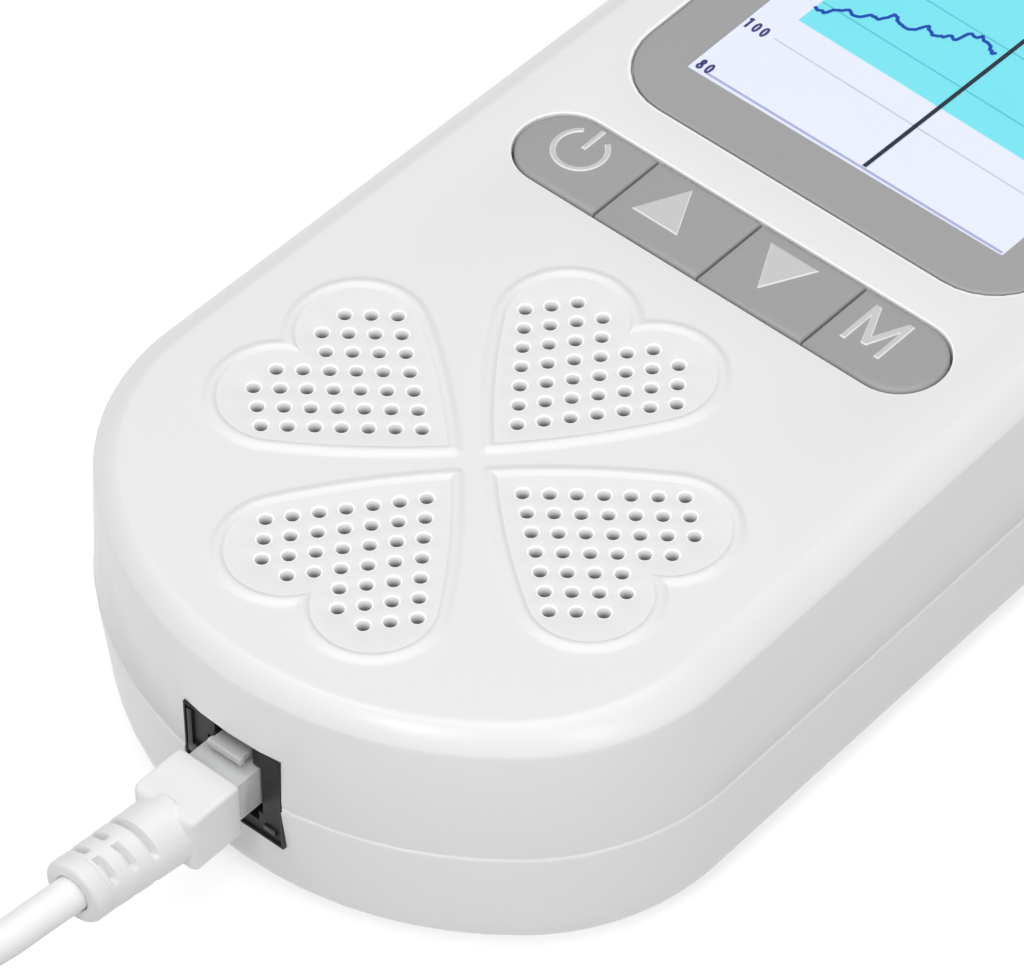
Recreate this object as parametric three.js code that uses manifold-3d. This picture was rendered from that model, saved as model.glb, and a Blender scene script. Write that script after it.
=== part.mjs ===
// Fetal doppler monitor: a hand-held display unit with four keys and a clover speaker grille,
// and its ultrasound probe on a plugged-in lead, put away in a coil. All sizes in millimetres.
// The unit lies on its back: X to its right, Y towards its display, Z up out of its face.
// The origin is on the flat underside of the rear cover, at the middle of the unit.

import * as THREE from 'three';
import { mergeGeometries, mergeVertices } from 'three/addons/utils/BufferGeometryUtils.js';
import Module from 'manifold-3d';

const wasm = await Module();
wasm.setup();

// Clearances shared by all pieces
const fitGap = 0.3; // between pieces that rest on or slide in each other
const overrun = 1; // how far a cutting solid runs past the face it opens

// Housing outline at the joint between the two shells
const bodyHalfWidth = 43.7; // at the corners of the end with the socket
const bodyHalfLength = 83;
const cornerCentreX = 12.9;
const farNarrowing = 2.2; // of the half-width, towards the far end
const endFlatness = 19.4; // radius of the ends over that of the corners
const cornerSteps = 6;
const endSteps = 5;

// Housing heights and walls
const bodyHeight = 37.5;
const partingHeight = 18.4;
const creaseDepth = 2.9; // of the crease below the face
const frontDraft = 0.8;
const chamferWidth = 1.2;
const chamferHeight = 1.5;
const blendWidth = 2;
const rearDraft = 1.1;
const rearEdgeRadius = 6.6;
const rearEdgeSteps = 3;
const wall = 2.4;

// Speaker grille: four hearts of round holes, each inside a raised bead
const cloverFromEnd = 42; // its centre, from the end wall with the socket
const holePitch = 3.1;
const holeRadius = 0.82;
const holeSides = 6;
const firstHole = 7.75;
const heartHalfAngle = 39;
const heartTip = 2.2;
const lobeX = 6.7;
const lobeY = 24;
const lobeRadius = 8.9;
const beadWidth = 1.7;
const beadHeight = 0.4;
const lobeSteps = 8;

// Speaker behind the grille
const speakerFromScrew = 6; // its rim, from the near case screws' axes
const speakerRim = 2.4;
const gasketHeight = 1;
const speakerDepth = 6;
const coneInset = 3.5;
const coneWall = 0.8;
const capRadius = 8;
const magnetRadius = 12;
const magnetClearance = 2.4; // above the battery bay
const roundSides = 24;

// Display window and display
const windowFromSide = 12.1;
const windowFromKeys = 12.45; // its near edge, from the middle of the key row
const windowFromFarEnd = 17.25;
const windowCornerRadius = 9.5;
const windowThickness = 1.2;
const windowRecess = 1.3;
const surroundSide = 7.1;
const surroundNear = 7.95;
const surroundFar = 4.75;
const glassMargin = 0.8;
const moduleMarginX = 5.4;
const moduleMarginY = 3;

// Row of four keys in a pill-shaped opening
const pillFromSide = 11.5;
const keysFromClover = 45;
const pillHeight = 12.5;
const keyCount = 4;
const keyGap = 0.4;
const keyRise = 0.1; // key tops above the face
const keyTravel = 0.8;
const keyFlange = 1;
const keyFlangeHeight = 1;
const stemRadius = 1.5;
const stemHeight = 1.4;

// Circuit board, its switches and chips
const boardFromSide = 12.7;
const boardNearKeys = 17; // its near edge, from the middle of the key row
const boardInWindow = 1.75; // its far edge, from the window's
const boardThickness = 1.6;
const boardCorner = 3;
const boardDepth = 7.9; // of its upper face below the housing's
const postRadius = 2.2;
const postInBoard = 4.5;
const postNearEdge = 4;
const postFromWindow = 0.15;
const switchSide = 6;
const switchHeight = 2;
const plungerRadius = 1.7;
const plungerHeight = 1.3;
const chipSide = 12;
const chipHeight = 1.4;
const chipFromMiddle = 8.5;
const amplifierSide = 7;
const amplifierFromKeys = 6;

// Socket for the probe lead, in the end wall
const socketHalfWidth = 7.5;
const socketHalfHeight = 7.4;
const socketFaceInset = 0.5;
const collarWall = 0.9;
const collarTopWall = 0.6;
const recessDepth = 3.4;
const jackLength = 16;
const jackRiseShare = 0.2; // of the room between the socket and the face
const pillarHalfWidth = 5;
const pillarStart = 6; // from the end wall
const pillarLength = 5;
const plugWidth = 7.6;
const plugHeight = 6;
const plugAxisZ = 18.9;
const plugInsertion = 12;
const contactCount = 4;
const contactPitch = 1.25;
const contactWidth = 0.6;
const contactLength = 6;
const contactRise = 1.1;

// Moulded plug, its latch and its strain relief
const coneSides = 14;
const blockWidth = 9.4;
const blockHeight = 8.3;
const blockStart = 2.9; // from the end wall
const blockLength = 8;
const blockChamfer = 1.6;
const latchWidth = 5.2;
const latchThickness = 1;
const latchLength = 11.6;
const latchLift = 0.65;
const latchInset = 1; // hinge behind the plug's tip
const reliefLength = 13.4;
const reliefStartRadius = 4.1;
const reliefEndRadius = 3.7;
const reliefRingRadius = 4;
const reliefRingLength = 1.6;
const reliefCoreRadius = 2.8;
const reliefSideLean = 1.5; // of its far end, towards -X
const reliefDrop = 0.4; // of its far end
const slotCount = 3;
const slotWidth = 1;
const slotPitch = 2.9;
const slotOffset = 4.1;
const slotBridge = 2.4;

// Lead
const cableDiameter = 4.6;
const tubeSides = 8;
const tubeStep = 11;
const coilTurns = 7;
const coilOuterRadius = 34.2;
const coilPitch = 5.2;
const coilCentreX = 14;
const coilCentreY = -158;
const loopSteps = 24;
const loopSides = 6;
const gapSamples = 4; // points measured in each step of a loop
const tieThickness = 0.6;
const tieWidth = 9;

// Probe at the end of the lead
const probeTailRadius = 7;
const probeGripRadius = 13.4;
const probeWaistRadius = 12.4;
const probeHeadRadius = 18.5;
const probeTaperLength = 15;
const probeTaperBulge = 1;
const probeGripLength = 55;
const probeFlareLength = 16;
const probeHeadLength = 10;
const probeWall = 2;
const probeRingLength = 3.4;
const probeRingInset = 0.7;
const probeSleeveLength = 4;
const probeFaceWall = 1.6;
const probeFaceLength = 6;
const probeFaceRise = 0.8;
const crystalThickness = 1;
const crystalRadius = 11;
const crystalGap = 1.2;
const probeBoardLength = 48;
const probeBoardThickness = 1.6;
const probeSides = 20;
const probeY = -212;
const probeReliefLength = 12;
const probeReliefEndRadius = 3.1;
const probeReliefRadius = 5.4;
const probeNeckRadius = 3;
const probeFlangeRadius = 4.4;
const probeFlangeThickness = 1.5;

// Battery bay, cells and door
const cellCount = 3;
const cellRadius = 7.2;
const cellLength = 50;
const cellPitch = 15;
const cellNubRadius = 2.7;
const cellNubLength = 1;
const cellSides = 16;
const bayWall = 1.4;
const bayFromJack = 3.9;
const springLength = 4;
const springRadius = 3.2;
const plateThickness = 0.6;
const plateWidth = 9;
const plateHeight = 9;
const doorMargin = 1.2;
const doorThickness = 1.8;
const doorInset = 0.5;
const doorTravel = 6;
const doorCorner = 3;
const hookCount = 3;
const hookLength = 5;
const hookReach = 1.4;
const hookThickness = 0.9;
const ridgeCount = 5;
const ridgePitch = 2.4;
const ridgeWidth = 1;
const ridgeDepth = 0.5;
const ridgeHalfLength = 9;

// Case screws and the bosses they join
const screwFarFromSide = 23.7;
const screwFarFromEnd = 15;
const screwNearFromSide = 11.7;
const screwNearFromEnd = 33;
const bossRadius = 3.6;
const screwHeadRadius = 2.7;
const screwHeadHeight = 2;
const screwRadius = 1.4;
const screwLength = 16;
const screwHeadZ = 6;
const crossWidth = 0.8;
const crossLength = 3.4;
const crossDepth = 1;
const screwSides = 10;

// Derived places
const socketWallY = -bodyHalfLength;
const cornerRadius = bodyHalfWidth - cornerCentreX;
const endRadius = cornerRadius + endFlatness;
const endCentreY = bodyHalfLength - endRadius;
const farCentreX = cornerCentreX - farNarrowing;
const nearCentreY = endCentreY + Math.sqrt(endFlatness ** 2 - cornerCentreX ** 2);
const farCentreY = endCentreY + Math.sqrt(endFlatness ** 2 - farCentreX ** 2);
const sideLean = Math.atan2(farNarrowing, nearCentreY + farCentreY);
const creaseHeight = bodyHeight - creaseDepth;
const faceEdgeInset = frontDraft + chamferWidth + blendWidth;
const undersideOfFace = bodyHeight - wall;
const cloverY = socketWallY + cloverFromEnd;
const pillHalfWidth = bodyHalfWidth - pillFromSide;
const pillCentreY = cloverY + keysFromClover;
const windowHalfWidth = bodyHalfWidth - windowFromSide;
const windowBottomY = pillCentreY + windowFromKeys;
const windowTopY = bodyHalfLength - windowFromFarEnd;
const windowFloor = bodyHeight - windowRecess;
const screenHalfWidth = windowHalfWidth - surroundSide;
const screenBottomY = windowBottomY + surroundNear;
const screenTopY = windowTopY - surroundFar;
const boardHalfWidth = bodyHalfWidth - boardFromSide;
const boardLowY = pillCentreY - boardNearKeys;
const boardHighY = windowTopY - boardInWindow;
const boardTop = bodyHeight - boardDepth;
const postX = boardHalfWidth - postInBoard;
const postLowY = boardLowY + postNearEdge;
const postHighY = windowBottomY - postFromWindow;
const chipY = (boardLowY + boardHighY) / 2 + chipFromMiddle;
const amplifierY = pillCentreY - amplifierFromKeys;
const screwFarX = bodyHalfWidth - screwFarFromSide;
const screwFarY = bodyHalfLength - screwFarFromEnd;
const screwNearX = bodyHalfWidth - screwNearFromSide;
const screwNearY = socketWallY + screwNearFromEnd;
const speakerRadius = screwNearX - speakerFromScrew;
const coneRadius = speakerRadius - coneInset;
const keyPitch = 2 * pillHalfWidth / keyCount;
const keyTop = bodyHeight + keyRise;
const keyFlangeTop = undersideOfFace - fitGap;
const keyBottom = keyFlangeTop - keyFlangeHeight;
const switchTop = boardTop + switchHeight;
const bayHalfWidth = (cellCount - 1) / 2 * cellPitch + cellRadius + fitGap;
const jackEndY = socketWallY + socketFaceInset + jackLength;
const bayLowY = jackEndY + bayFromJack + bayWall;
const bayHighY = bayLowY + springLength + cellLength + cellNubLength + plateThickness + 2 * fitGap;
const doorTop = doorInset + doorThickness;
const cellZ = doorTop + fitGap + cellRadius;
const bayRoof = cellZ + cellRadius + fitGap;
const doorHalfWidth = bayHalfWidth + doorMargin;
const doorLowY = bayLowY - doorMargin;
const doorHighY = bayHighY + doorMargin;
const magnetHeight = undersideOfFace - gasketHeight - speakerDepth - bayRoof - bayWall - magnetClearance;
const socketTop = partingHeight + socketHalfHeight;
const jackRise = (undersideOfFace - socketTop) * jackRiseShare;
const plugTop = plugAxisZ + plugHeight / 2;
const blockY = socketWallY - blockStart;
const plugTipY = socketWallY + plugInsertion;
const latchY = plugTipY - latchInset;
const latchZ = plugTop + fitGap;

// Geometry helpers

function solid(geometry) {
  const bare = geometry.index ? geometry.toNonIndexed() : geometry.clone();
  bare.deleteAttribute('normal');
  bare.deleteAttribute('uv');
  const merged = mergeVertices(bare, 1e-5);
  return new wasm.Manifold(new wasm.Mesh({
    numProp: 3,
    vertProperties: new Float32Array(merged.attributes.position.array),
    triVerts: new Uint32Array(merged.index.array),
  }));
}

function geometryOf(body) {
  const mesh = body.getMesh();
  const geometry = new THREE.BufferGeometry();
  geometry.setAttribute('position', new THREE.BufferAttribute(mesh.vertProperties, mesh.numProp));
  geometry.setIndex(new THREE.BufferAttribute(mesh.triVerts, 1));
  const flat = geometry.toNonIndexed();
  flat.computeVertexNormals();
  return flat;
}

// A closed body through rings of equally many points, one above the other
function loft(rings) {
  const count = rings[0].points.length;
  const positions = rings.flatMap(({ points, z }) => points.flatMap((p) => [p.x, p.y, z]));
  const index = [];
  for (let level = 0; level + 1 < rings.length; level += 1) {
    for (let k = 0; k < count; k += 1) {
      const a = level * count + k;
      const b = level * count + (k + 1) % count;
      index.push(a, b, b + count, a, b + count, a + count);
    }
  }
  const top = (rings.length - 1) * count;
  for (const [a, b, c] of THREE.ShapeUtils.triangulateShape(rings[0].points, [])) index.push(a, c, b);
  for (const [a, b, c] of THREE.ShapeUtils.triangulateShape(rings.at(-1).points, [])) {
    index.push(top + a, top + b, top + c);
  }
  const geometry = new THREE.BufferGeometry();
  geometry.setAttribute('position', new THREE.Float32BufferAttribute(positions, 3));
  geometry.setIndex(index);
  return solid(geometry);
}

function block(x0, x1, y0, y1, z0, z1) {
  const geometry = new THREE.BoxGeometry(x1 - x0, y1 - y0, z1 - z0);
  geometry.translate((x0 + x1) / 2, (y0 + y1) / 2, (z0 + z1) / 2);
  return solid(geometry);
}

function ordered(a, b) {
  return [Math.min(a, b), Math.max(a, b)];
}

function post(radius, z0, z1, x = 0, y = 0, sides = roundSides) {
  const geometry = new THREE.CylinderGeometry(radius, radius, z1 - z0, sides);
  geometry.rotateX(Math.PI / 2);
  geometry.translate(x, y, (z0 + z1) / 2);
  return solid(geometry);
}

function slab(shape, z0, z1, curveSegments = 5) {
  const geometry = new THREE.ExtrudeGeometry(shape, { depth: z1 - z0, bevelEnabled: false, curveSegments });
  geometry.translate(0, 0, z0);
  return solid(geometry);
}

// A turned body about Z: the profile lists radius and height, and starts and ends on the axis
function turned(profile, sides = roundSides) {
  const geometry = new THREE.LatheGeometry(profile.map(([r, z]) => new THREE.Vector2(r, z)), sides);
  geometry.rotateX(Math.PI / 2);
  return solid(geometry);
}

function union(bodies) {
  return bodies.reduce((sum, body) => sum.add(body));
}

function roundedRectangle(halfWidth, lowY, highY, radius) {
  const shape = new THREE.Shape();
  shape.moveTo(halfWidth - radius, lowY);
  shape.absarc(halfWidth - radius, lowY + radius, radius, -Math.PI / 2, 0);
  shape.absarc(halfWidth - radius, highY - radius, radius, 0, Math.PI / 2);
  shape.absarc(radius - halfWidth, highY - radius, radius, Math.PI / 2, Math.PI);
  shape.absarc(radius - halfWidth, lowY + radius, radius, Math.PI, 1.5 * Math.PI);
  return shape;
}

// A quarter of the housing's outline without its tip: a corner arc, then a shallow end arc
function quarterOutline(inset, centreX, centreY, start) {
  const radius = cornerRadius - inset;
  const end = endRadius - inset;
  const turn = Math.atan2(centreY - endCentreY, centreX);
  const points = [];
  for (let k = 0; k <= cornerSteps; k += 1) {
    const angle = start + (turn - start) * k / cornerSteps;
    points.push([centreX + radius * Math.cos(angle), centreY + radius * Math.sin(angle)]);
  }
  for (let k = 1; k < endSteps; k += 1) {
    const angle = turn + (Math.PI / 2 - turn) * k / endSteps;
    points.push([end * Math.cos(angle), endCentreY + end * Math.sin(angle)]);
  }
  return points;
}

// The housing's outline, drawn in by an inset: its sides come a little closer towards the far end
function outline(inset) {
  const near = quarterOutline(inset, cornerCentreX, nearCentreY, -sideLean);
  const far = quarterOutline(inset, farCentreX, farCentreY, sideLean);
  const tip = bodyHalfLength - inset;
  const mirrored = (sx, sy, list) => list.map(([x, y]) => new THREE.Vector2(sx * x, sy * y));
  return [
    ...mirrored(1, 1, far), new THREE.Vector2(0, tip), ...mirrored(-1, 1, far.toReversed()),
    ...mirrored(-1, -1, near), new THREE.Vector2(0, -tip), ...mirrored(1, -1, near.toReversed()),
  ];
}

function ring(inset, z) {
  return { points: outline(inset), z };
}

// One heart of the grille, its tip towards the clover's centre, drawn in by an inset
function heart(inset) {
  const radius = lobeRadius - inset;
  const reach = Math.hypot(lobeX, lobeY - heartTip);
  const side = Math.atan2(lobeX, lobeY - heartTip) + Math.asin(lobeRadius / reach);
  const tipY = heartTip + inset / Math.sin(side);
  const notch = Math.acos(lobeX / radius);
  const points = [new THREE.Vector2(0, tipY)];
  for (let k = 0; k <= lobeSteps; k += 1) {
    const angle = -side + (Math.PI - notch + side) * k / lobeSteps;
    points.push(new THREE.Vector2(lobeX + radius * Math.cos(angle), lobeY + radius * Math.sin(angle)));
  }
  const mirrored = points.slice(1, -1).toReversed().map((p) => new THREE.Vector2(-p.x, p.y));
  return [...points, ...mirrored];
}

// The rows of one heart run along its two straight sides, and its two lobes are cut round
function heartHoles() {
  const along = holePitch * Math.cos(THREE.MathUtils.degToRad(heartHalfAngle));
  const across = holePitch * Math.sin(THREE.MathUtils.degToRad(heartHalfAngle));
  const [widest, longRow, shortRow] = [3, 5, 2];
  const places = [];
  for (let i = 0; i <= longRow + 1; i += 1) {
    for (let j = 0; j <= longRow + 1; j += 1) {
      const [low, high] = [Math.min(i, j), Math.max(i, j)];
      if (low <= (high > longRow ? shortRow : widest)) {
        places.push(new THREE.Vector2((j - i) * across, firstHole + (i + j) * along));
      }
    }
  }
  return places;
}

const quarterTurns = [0, 1, 2, 3].map((k) => k * Math.PI / 2);

function grilleHoles() {
  const holes = quarterTurns.flatMap((turn) => heartHoles().map((place) => {
    const geometry = new THREE.CylinderGeometry(holeRadius, holeRadius, wall + 2 * overrun, holeSides);
    geometry.rotateX(Math.PI / 2);
    geometry.translate(place.x, place.y, bodyHeight - wall / 2);
    geometry.rotateZ(turn);
    geometry.translate(0, cloverY, 0);
    return geometry;
  }));
  return solid(mergeGeometries(holes));
}

function heartBeads() {
  return quarterTurns.map((turn) => {
    const shape = new THREE.Shape(heart(0));
    shape.holes.push(new THREE.Path(heart(beadWidth)));
    const depth = beadHeight + overrun;
    const geometry = new THREE.ExtrudeGeometry(shape, { depth, bevelEnabled: false });
    geometry.rotateZ(turn);
    geometry.translate(0, cloverY, bodyHeight - overrun);
    return solid(geometry);
  });
}

// Materials

function finish(color, roughness, metalness = 0) {
  return new THREE.MeshStandardMaterial({ color, roughness, metalness });
}

const housingWhite = finish(0xececee, 0.25);
const keyGrey = finish(0xa4a4a6, 0.45);
const windowGrey = finish(0xa0a0a2, 0.4);
const clearGlass = finish(0xe8f2f6, 0.08);
const screenBlue = finish(0x9be6ee, 0.3);
const blackPlastic = finish(0x26272a, 0.5);
const boardGreen = finish(0x1f6b45, 0.5);
const steel = finish(0xb9bcc0, 0.35, 0.9);
const gold = finish(0xc9a24a, 0.3, 0.9);
const plugClear = finish(0xcfd1d2, 0.2);
const cableWhite = finish(0xe9e9eb, 0.4);
const speakerBlack = finish(0x303033, 0.8);
const foamBlack = finish(0x3a3a3c, 0.95);
const cellGrey = finish(0x4c5560, 0.4, 0.3);
const lensGrey = finish(0xb8bcc2, 0.35);
const ceramicTan = finish(0xc9b48c, 0.6);

const group = new THREE.Group();

function place(name, body, material, parent = group) {
  const mesh = new THREE.Mesh(geometryOf(body), material.clone());
  mesh.name = name;
  parent.add(mesh);
  return mesh;
}

// Housing

const screwPlaces = [-1, 1].flatMap((side) => [
  [side * screwFarX, screwFarY], [side * screwNearX, screwNearY],
]);
const postPlaces = [[postX, postLowY], [-postX, postLowY], [postX, postHighY], [-postX, postHighY]];

function socketOpening() {
  const y0 = socketWallY - overrun;
  const y1 = socketWallY + wall + frontDraft + overrun;
  const z = partingHeight;
  return block(-socketHalfWidth, socketHalfWidth, y0, y1, z - socketHalfHeight, z + socketHalfHeight);
}

function frontShell() {
  const bottom = partingHeight + fitGap / 2;
  const outer = loft([
    ring(0, bottom), ring(frontDraft, creaseHeight),
    ring(frontDraft + chamferWidth, creaseHeight + chamferHeight), ring(faceEdgeInset, bodyHeight),
  ]);
  const inner = loft([
    ring(wall, bottom - overrun), ring(wall + frontDraft, creaseHeight - wall / 2),
    ring(faceEdgeInset, undersideOfFace),
  ]);
  const rootZ = bodyHeight - wall / 2;
  const bosses = screwPlaces.map(([x, y]) => post(bossRadius, bottom, rootZ, x, y, screwSides));
  const posts = postPlaces.map(([x, y]) => post(postRadius, boardTop, rootZ, x, y, screwSides));
  const shell = union([outer.subtract(inner), ...bosses, ...posts, ...heartBeads()]);
  const pilots = screwPlaces.map(([x, y]) => {
    const top = screwHeadZ + screwHeadHeight + screwLength + overrun;
    return post(screwRadius + fitGap, bottom - overrun, top, x, y, screwSides);
  });
  const recess = roundedRectangle(windowHalfWidth, windowBottomY, windowTopY, windowCornerRadius);
  const apertureHalf = screenHalfWidth + glassMargin;
  const apertureLow = screenBottomY - glassMargin;
  const apertureHigh = screenTopY + glassMargin;
  const pill = roundedRectangle(
    pillHalfWidth, pillCentreY - pillHeight / 2, pillCentreY + pillHeight / 2, pillHeight / 2,
  );
  const throughZ = undersideOfFace - overrun;
  const cuts = union([
    grilleHoles(), ...pilots, socketOpening(),
    slab(recess, windowFloor, bodyHeight + overrun),
    block(-apertureHalf, apertureHalf, apertureLow, apertureHigh, throughZ, bodyHeight),
    slab(pill, throughZ, bodyHeight + overrun),
  ]);
  return shell.subtract(cuts);
}

function rearRings(inset, floor) {
  const rings = [];
  for (let k = 0; k <= rearEdgeSteps; k += 1) {
    const angle = Math.PI / 2 * k / rearEdgeSteps;
    const radius = rearEdgeRadius - floor;
    rings.push(ring(
      inset + rearDraft + radius * (1 - Math.sin(angle)),
      floor + radius * (1 - Math.cos(angle)),
    ));
  }
  return rings;
}

function rearCover() {
  const top = partingHeight - fitGap / 2;
  const outer = loft([...rearRings(0, 0), ring(0, top)]);
  const inner = loft([...rearRings(wall, wall), ring(wall, top + overrun)]);
  const shell = outer.subtract(inner);
  const bosses = screwPlaces.map(([x, y]) => post(bossRadius + wall / 2, wall / 2, top, x, y, screwSides));
  const bayX = bayHalfWidth + bayWall;
  const bay = block(-bayX, bayX, bayLowY - bayWall, bayHighY + bayWall, wall / 2, bayRoof + bayWall);
  const recessX = doorHalfWidth + fitGap;
  const recessLow = doorLowY - doorTravel - fitGap;
  const recessHigh = doorHighY + fitGap;
  const recessTop = doorTop + fitGap;
  const seatX = recessX + hookReach + bayWall;
  const seatTop = recessTop + bayWall;
  const seat = block(-seatX, seatX, recessLow - bayWall, recessHigh + bayWall, wall / 2, seatTop);
  const pillarY = [socketWallY + pillarStart, socketWallY + pillarStart + pillarLength];
  const pillarTop = partingHeight - socketHalfHeight;
  const pillar = block(-pillarHalfWidth, pillarHalfWidth, ...pillarY, wall / 2, pillarTop);
  const recess = roundedRectangle(recessX, recessLow, recessHigh, doorCorner + fitGap);
  const throat = block(-bayHalfWidth, bayHalfWidth, bayLowY, bayHighY, -overrun, bayRoof);
  const hookRoom = hookRows().flatMap((y) => {
    const reach = recessX + hookReach;
    const slotLow = y - doorTravel - fitGap;
    const slotBottom = doorTop - hookThickness - fitGap;
    return [
      block(-reach, reach, slotLow, y + hookLength + fitGap, slotBottom, recessTop),
      block(-reach, reach, slotLow, slotLow + hookLength + 2 * fitGap, -overrun, recessTop),
    ];
  });
  const drills = screwPlaces.flatMap(([x, y]) => [
    post(screwHeadRadius + fitGap, -overrun, screwHeadZ + screwHeadHeight, x, y, screwSides),
    post(screwRadius + fitGap, -overrun, top + overrun, x, y, screwSides),
  ]);
  return union([shell, ...bosses, bay, seat, pillar])
    .subtract(union([throat, slab(recess, -overrun, recessTop), ...hookRoom, ...drills]))
    .subtract(socketOpening());
}

function hookRows() {
  const first = doorLowY + doorCorner + doorTravel;
  const space = doorHighY - doorCorner - hookLength - first;
  return Array.from({ length: hookCount }, (_, k) => first + space * k / (hookCount - 1));
}

function batteryDoor() {
  const plate = slab(roundedRectangle(doorHalfWidth, doorLowY, doorHighY, doorCorner), doorInset, doorTop);
  const reach = doorHalfWidth + hookReach;
  const hookBottom = doorTop - hookThickness;
  const hooks = hookRows().map((y) => block(-reach, reach, y, y + hookLength, hookBottom, doorTop));
  const ridges = Array.from({ length: ridgeCount }, (_, k) => {
    const y = doorLowY + doorCorner + k * ridgePitch;
    return block(-ridgeHalfLength, ridgeHalfLength, y, y + ridgeWidth, -overrun, doorInset + ridgeDepth);
  });
  return union([plate, ...hooks]).subtract(union(ridges));
}

place('front_shell', frontShell(), housingWhite);
place('rear_cover', rearCover(), housingWhite);
place('battery_door', batteryDoor(), housingWhite);

// Display window and display

function windowFrame() {
  const z1 = windowFloor + windowThickness;
  const top = windowTopY - fitGap;
  const radius = windowCornerRadius - fitGap;
  const plate = slab(
    roundedRectangle(windowHalfWidth - fitGap, windowBottomY + fitGap, top, radius), windowFloor, z1,
  );
  return plate.subtract(
    block(-screenHalfWidth, screenHalfWidth, screenBottomY, screenTopY, windowFloor - overrun, z1 + overrun),
  );
}

function screenPlate(inset, z0, z1) {
  const half = screenHalfWidth - inset;
  const y1 = screenTopY - inset;
  return block(-half, half, screenBottomY + inset, y1, z0, z1);
}

const moduleTop = undersideOfFace - fitGap;
const moduleHalf = screenHalfWidth + moduleMarginX;
const moduleLowY = screenBottomY - moduleMarginY;
const moduleHighY = screenTopY + moduleMarginY;
place('window_frame', windowFrame(), windowGrey);
place(
  'window_glass', screenPlate(fitGap / 2, windowFloor + fitGap, windowFloor + windowThickness), clearGlass,
);
place('display_screen', screenPlate(0, moduleTop, windowFloor), screenBlue);
place(
  'display_module',
  block(-moduleHalf, moduleHalf, moduleLowY, moduleHighY, boardTop + fitGap, moduleTop),
  steel,
);

// Keys, with the switches that they press

function keyCap(index) {
  const x0 = -pillHalfWidth + index * keyPitch + keyGap / 2;
  const x1 = x0 + keyPitch - keyGap;
  const halfHeight = pillHeight / 2;
  const outer = roundedRectangle(
    pillHalfWidth - fitGap, pillCentreY - halfHeight + fitGap, pillCentreY + halfHeight - fitGap,
    halfHeight - fitGap,
  );
  const skirt = roundedRectangle(
    pillHalfWidth + keyFlange, pillCentreY - halfHeight - keyFlange, pillCentreY + halfHeight + keyFlange,
    halfHeight + keyFlange,
  );
  const reach = keyFlange + overrun;
  const left = index === 0 ? x0 - reach : x0;
  const right = index === keyCount - 1 ? x1 + reach : x1;
  const low = pillCentreY - halfHeight - reach;
  const high = pillCentreY + halfHeight + reach;
  const strip = block(left, right, low, high, keyBottom, keyTop);
  const cap = union([slab(outer, keyBottom, keyTop), slab(skirt, keyBottom, keyFlangeTop)]);
  const stem = post(stemRadius, keyBottom - stemHeight, keyBottom, (x0 + x1) / 2, pillCentreY, screwSides);
  return cap.intersect(strip).add(stem);
}

['power', 'up', 'down', 'menu'].forEach((name, index) => {
  const x = -pillHalfWidth + (index + 1 / 2) * keyPitch;
  const half = switchSide / 2;
  const plungerTop = keyBottom - stemHeight;
  const wellBottom = plungerTop - plungerHeight - keyTravel - fitGap;
  const well = post(plungerRadius + fitGap, wellBottom, switchTop + overrun, x, pillCentreY, screwSides);
  const base = block(x - half, x + half, pillCentreY - half, pillCentreY + half, boardTop, switchTop);
  place(`key_${name}`, keyCap(index), keyGrey);
  place(`switch_${name}`, base.subtract(well), blackPlastic);
  place(
    `plunger_${name}`,
    post(plungerRadius, plungerTop - plungerHeight, plungerTop, x, pillCentreY, screwSides), steel,
  );
});

// Circuit board

function mainBoard() {
  const shape = roundedRectangle(boardHalfWidth, boardLowY, boardHighY, boardCorner);
  return slab(shape, boardTop - boardThickness, boardTop, 2);
}

function chip(side, y) {
  const z1 = boardTop - boardThickness;
  return block(-side / 2, side / 2, y - side / 2, y + side / 2, z1 - chipHeight, z1);
}

place('main_board', mainBoard(), boardGreen);
place('chip_processor', chip(chipSide, chipY), blackPlastic);
place('chip_amplifier', chip(amplifierSide, amplifierY), blackPlastic);

// Speaker, hung under the grille

const gasketBottom = undersideOfFace - gasketHeight;
const basketTop = gasketBottom;
const basketBottom = basketTop - speakerDepth;

function atClover(body) {
  return body.translate([0, cloverY, 0]);
}

function speakerGasket() {
  const inner = post(speakerRadius - speakerRim, gasketBottom - overrun, undersideOfFace + overrun);
  return atClover(post(speakerRadius, gasketBottom, undersideOfFace).subtract(inner));
}

function speakerBasket() {
  const rimLow = basketTop - 2 * coneWall;
  const outer = turned([[0, basketBottom], [magnetRadius, basketBottom], [speakerRadius, rimLow],
    [speakerRadius, basketTop], [0, basketTop]]);
  const wellRadius = speakerRadius - speakerRim;
  const wellBottom = basketBottom + coneWall;
  const well = turned([[0, wellBottom], [magnetRadius - coneWall, wellBottom],
    [wellRadius, basketTop - coneWall], [wellRadius, basketTop + overrun], [0, basketTop + overrun]]);
  return atClover(outer.subtract(well));
}

function speakerCone() {
  const rim = basketTop - coneWall;
  const base = basketBottom + 2 * coneWall + fitGap;
  const domeTop = base + coneWall * 2;
  return atClover(turned([[0, base], [capRadius, base], [coneRadius, rim], [coneRadius, rim + coneWall],
    [coneRadius - coneWall, rim + coneWall], [capRadius, base + coneWall], [0, domeTop]]));
}

place('speaker_gasket', speakerGasket(), foamBlack);
place('speaker_basket', speakerBasket(), steel);
place('speaker_cone', speakerCone(), speakerBlack);
place(
  'speaker_magnet',
  atClover(post(magnetRadius - coneWall, basketBottom - magnetHeight, basketBottom)), steel,
);

// Socket

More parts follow.
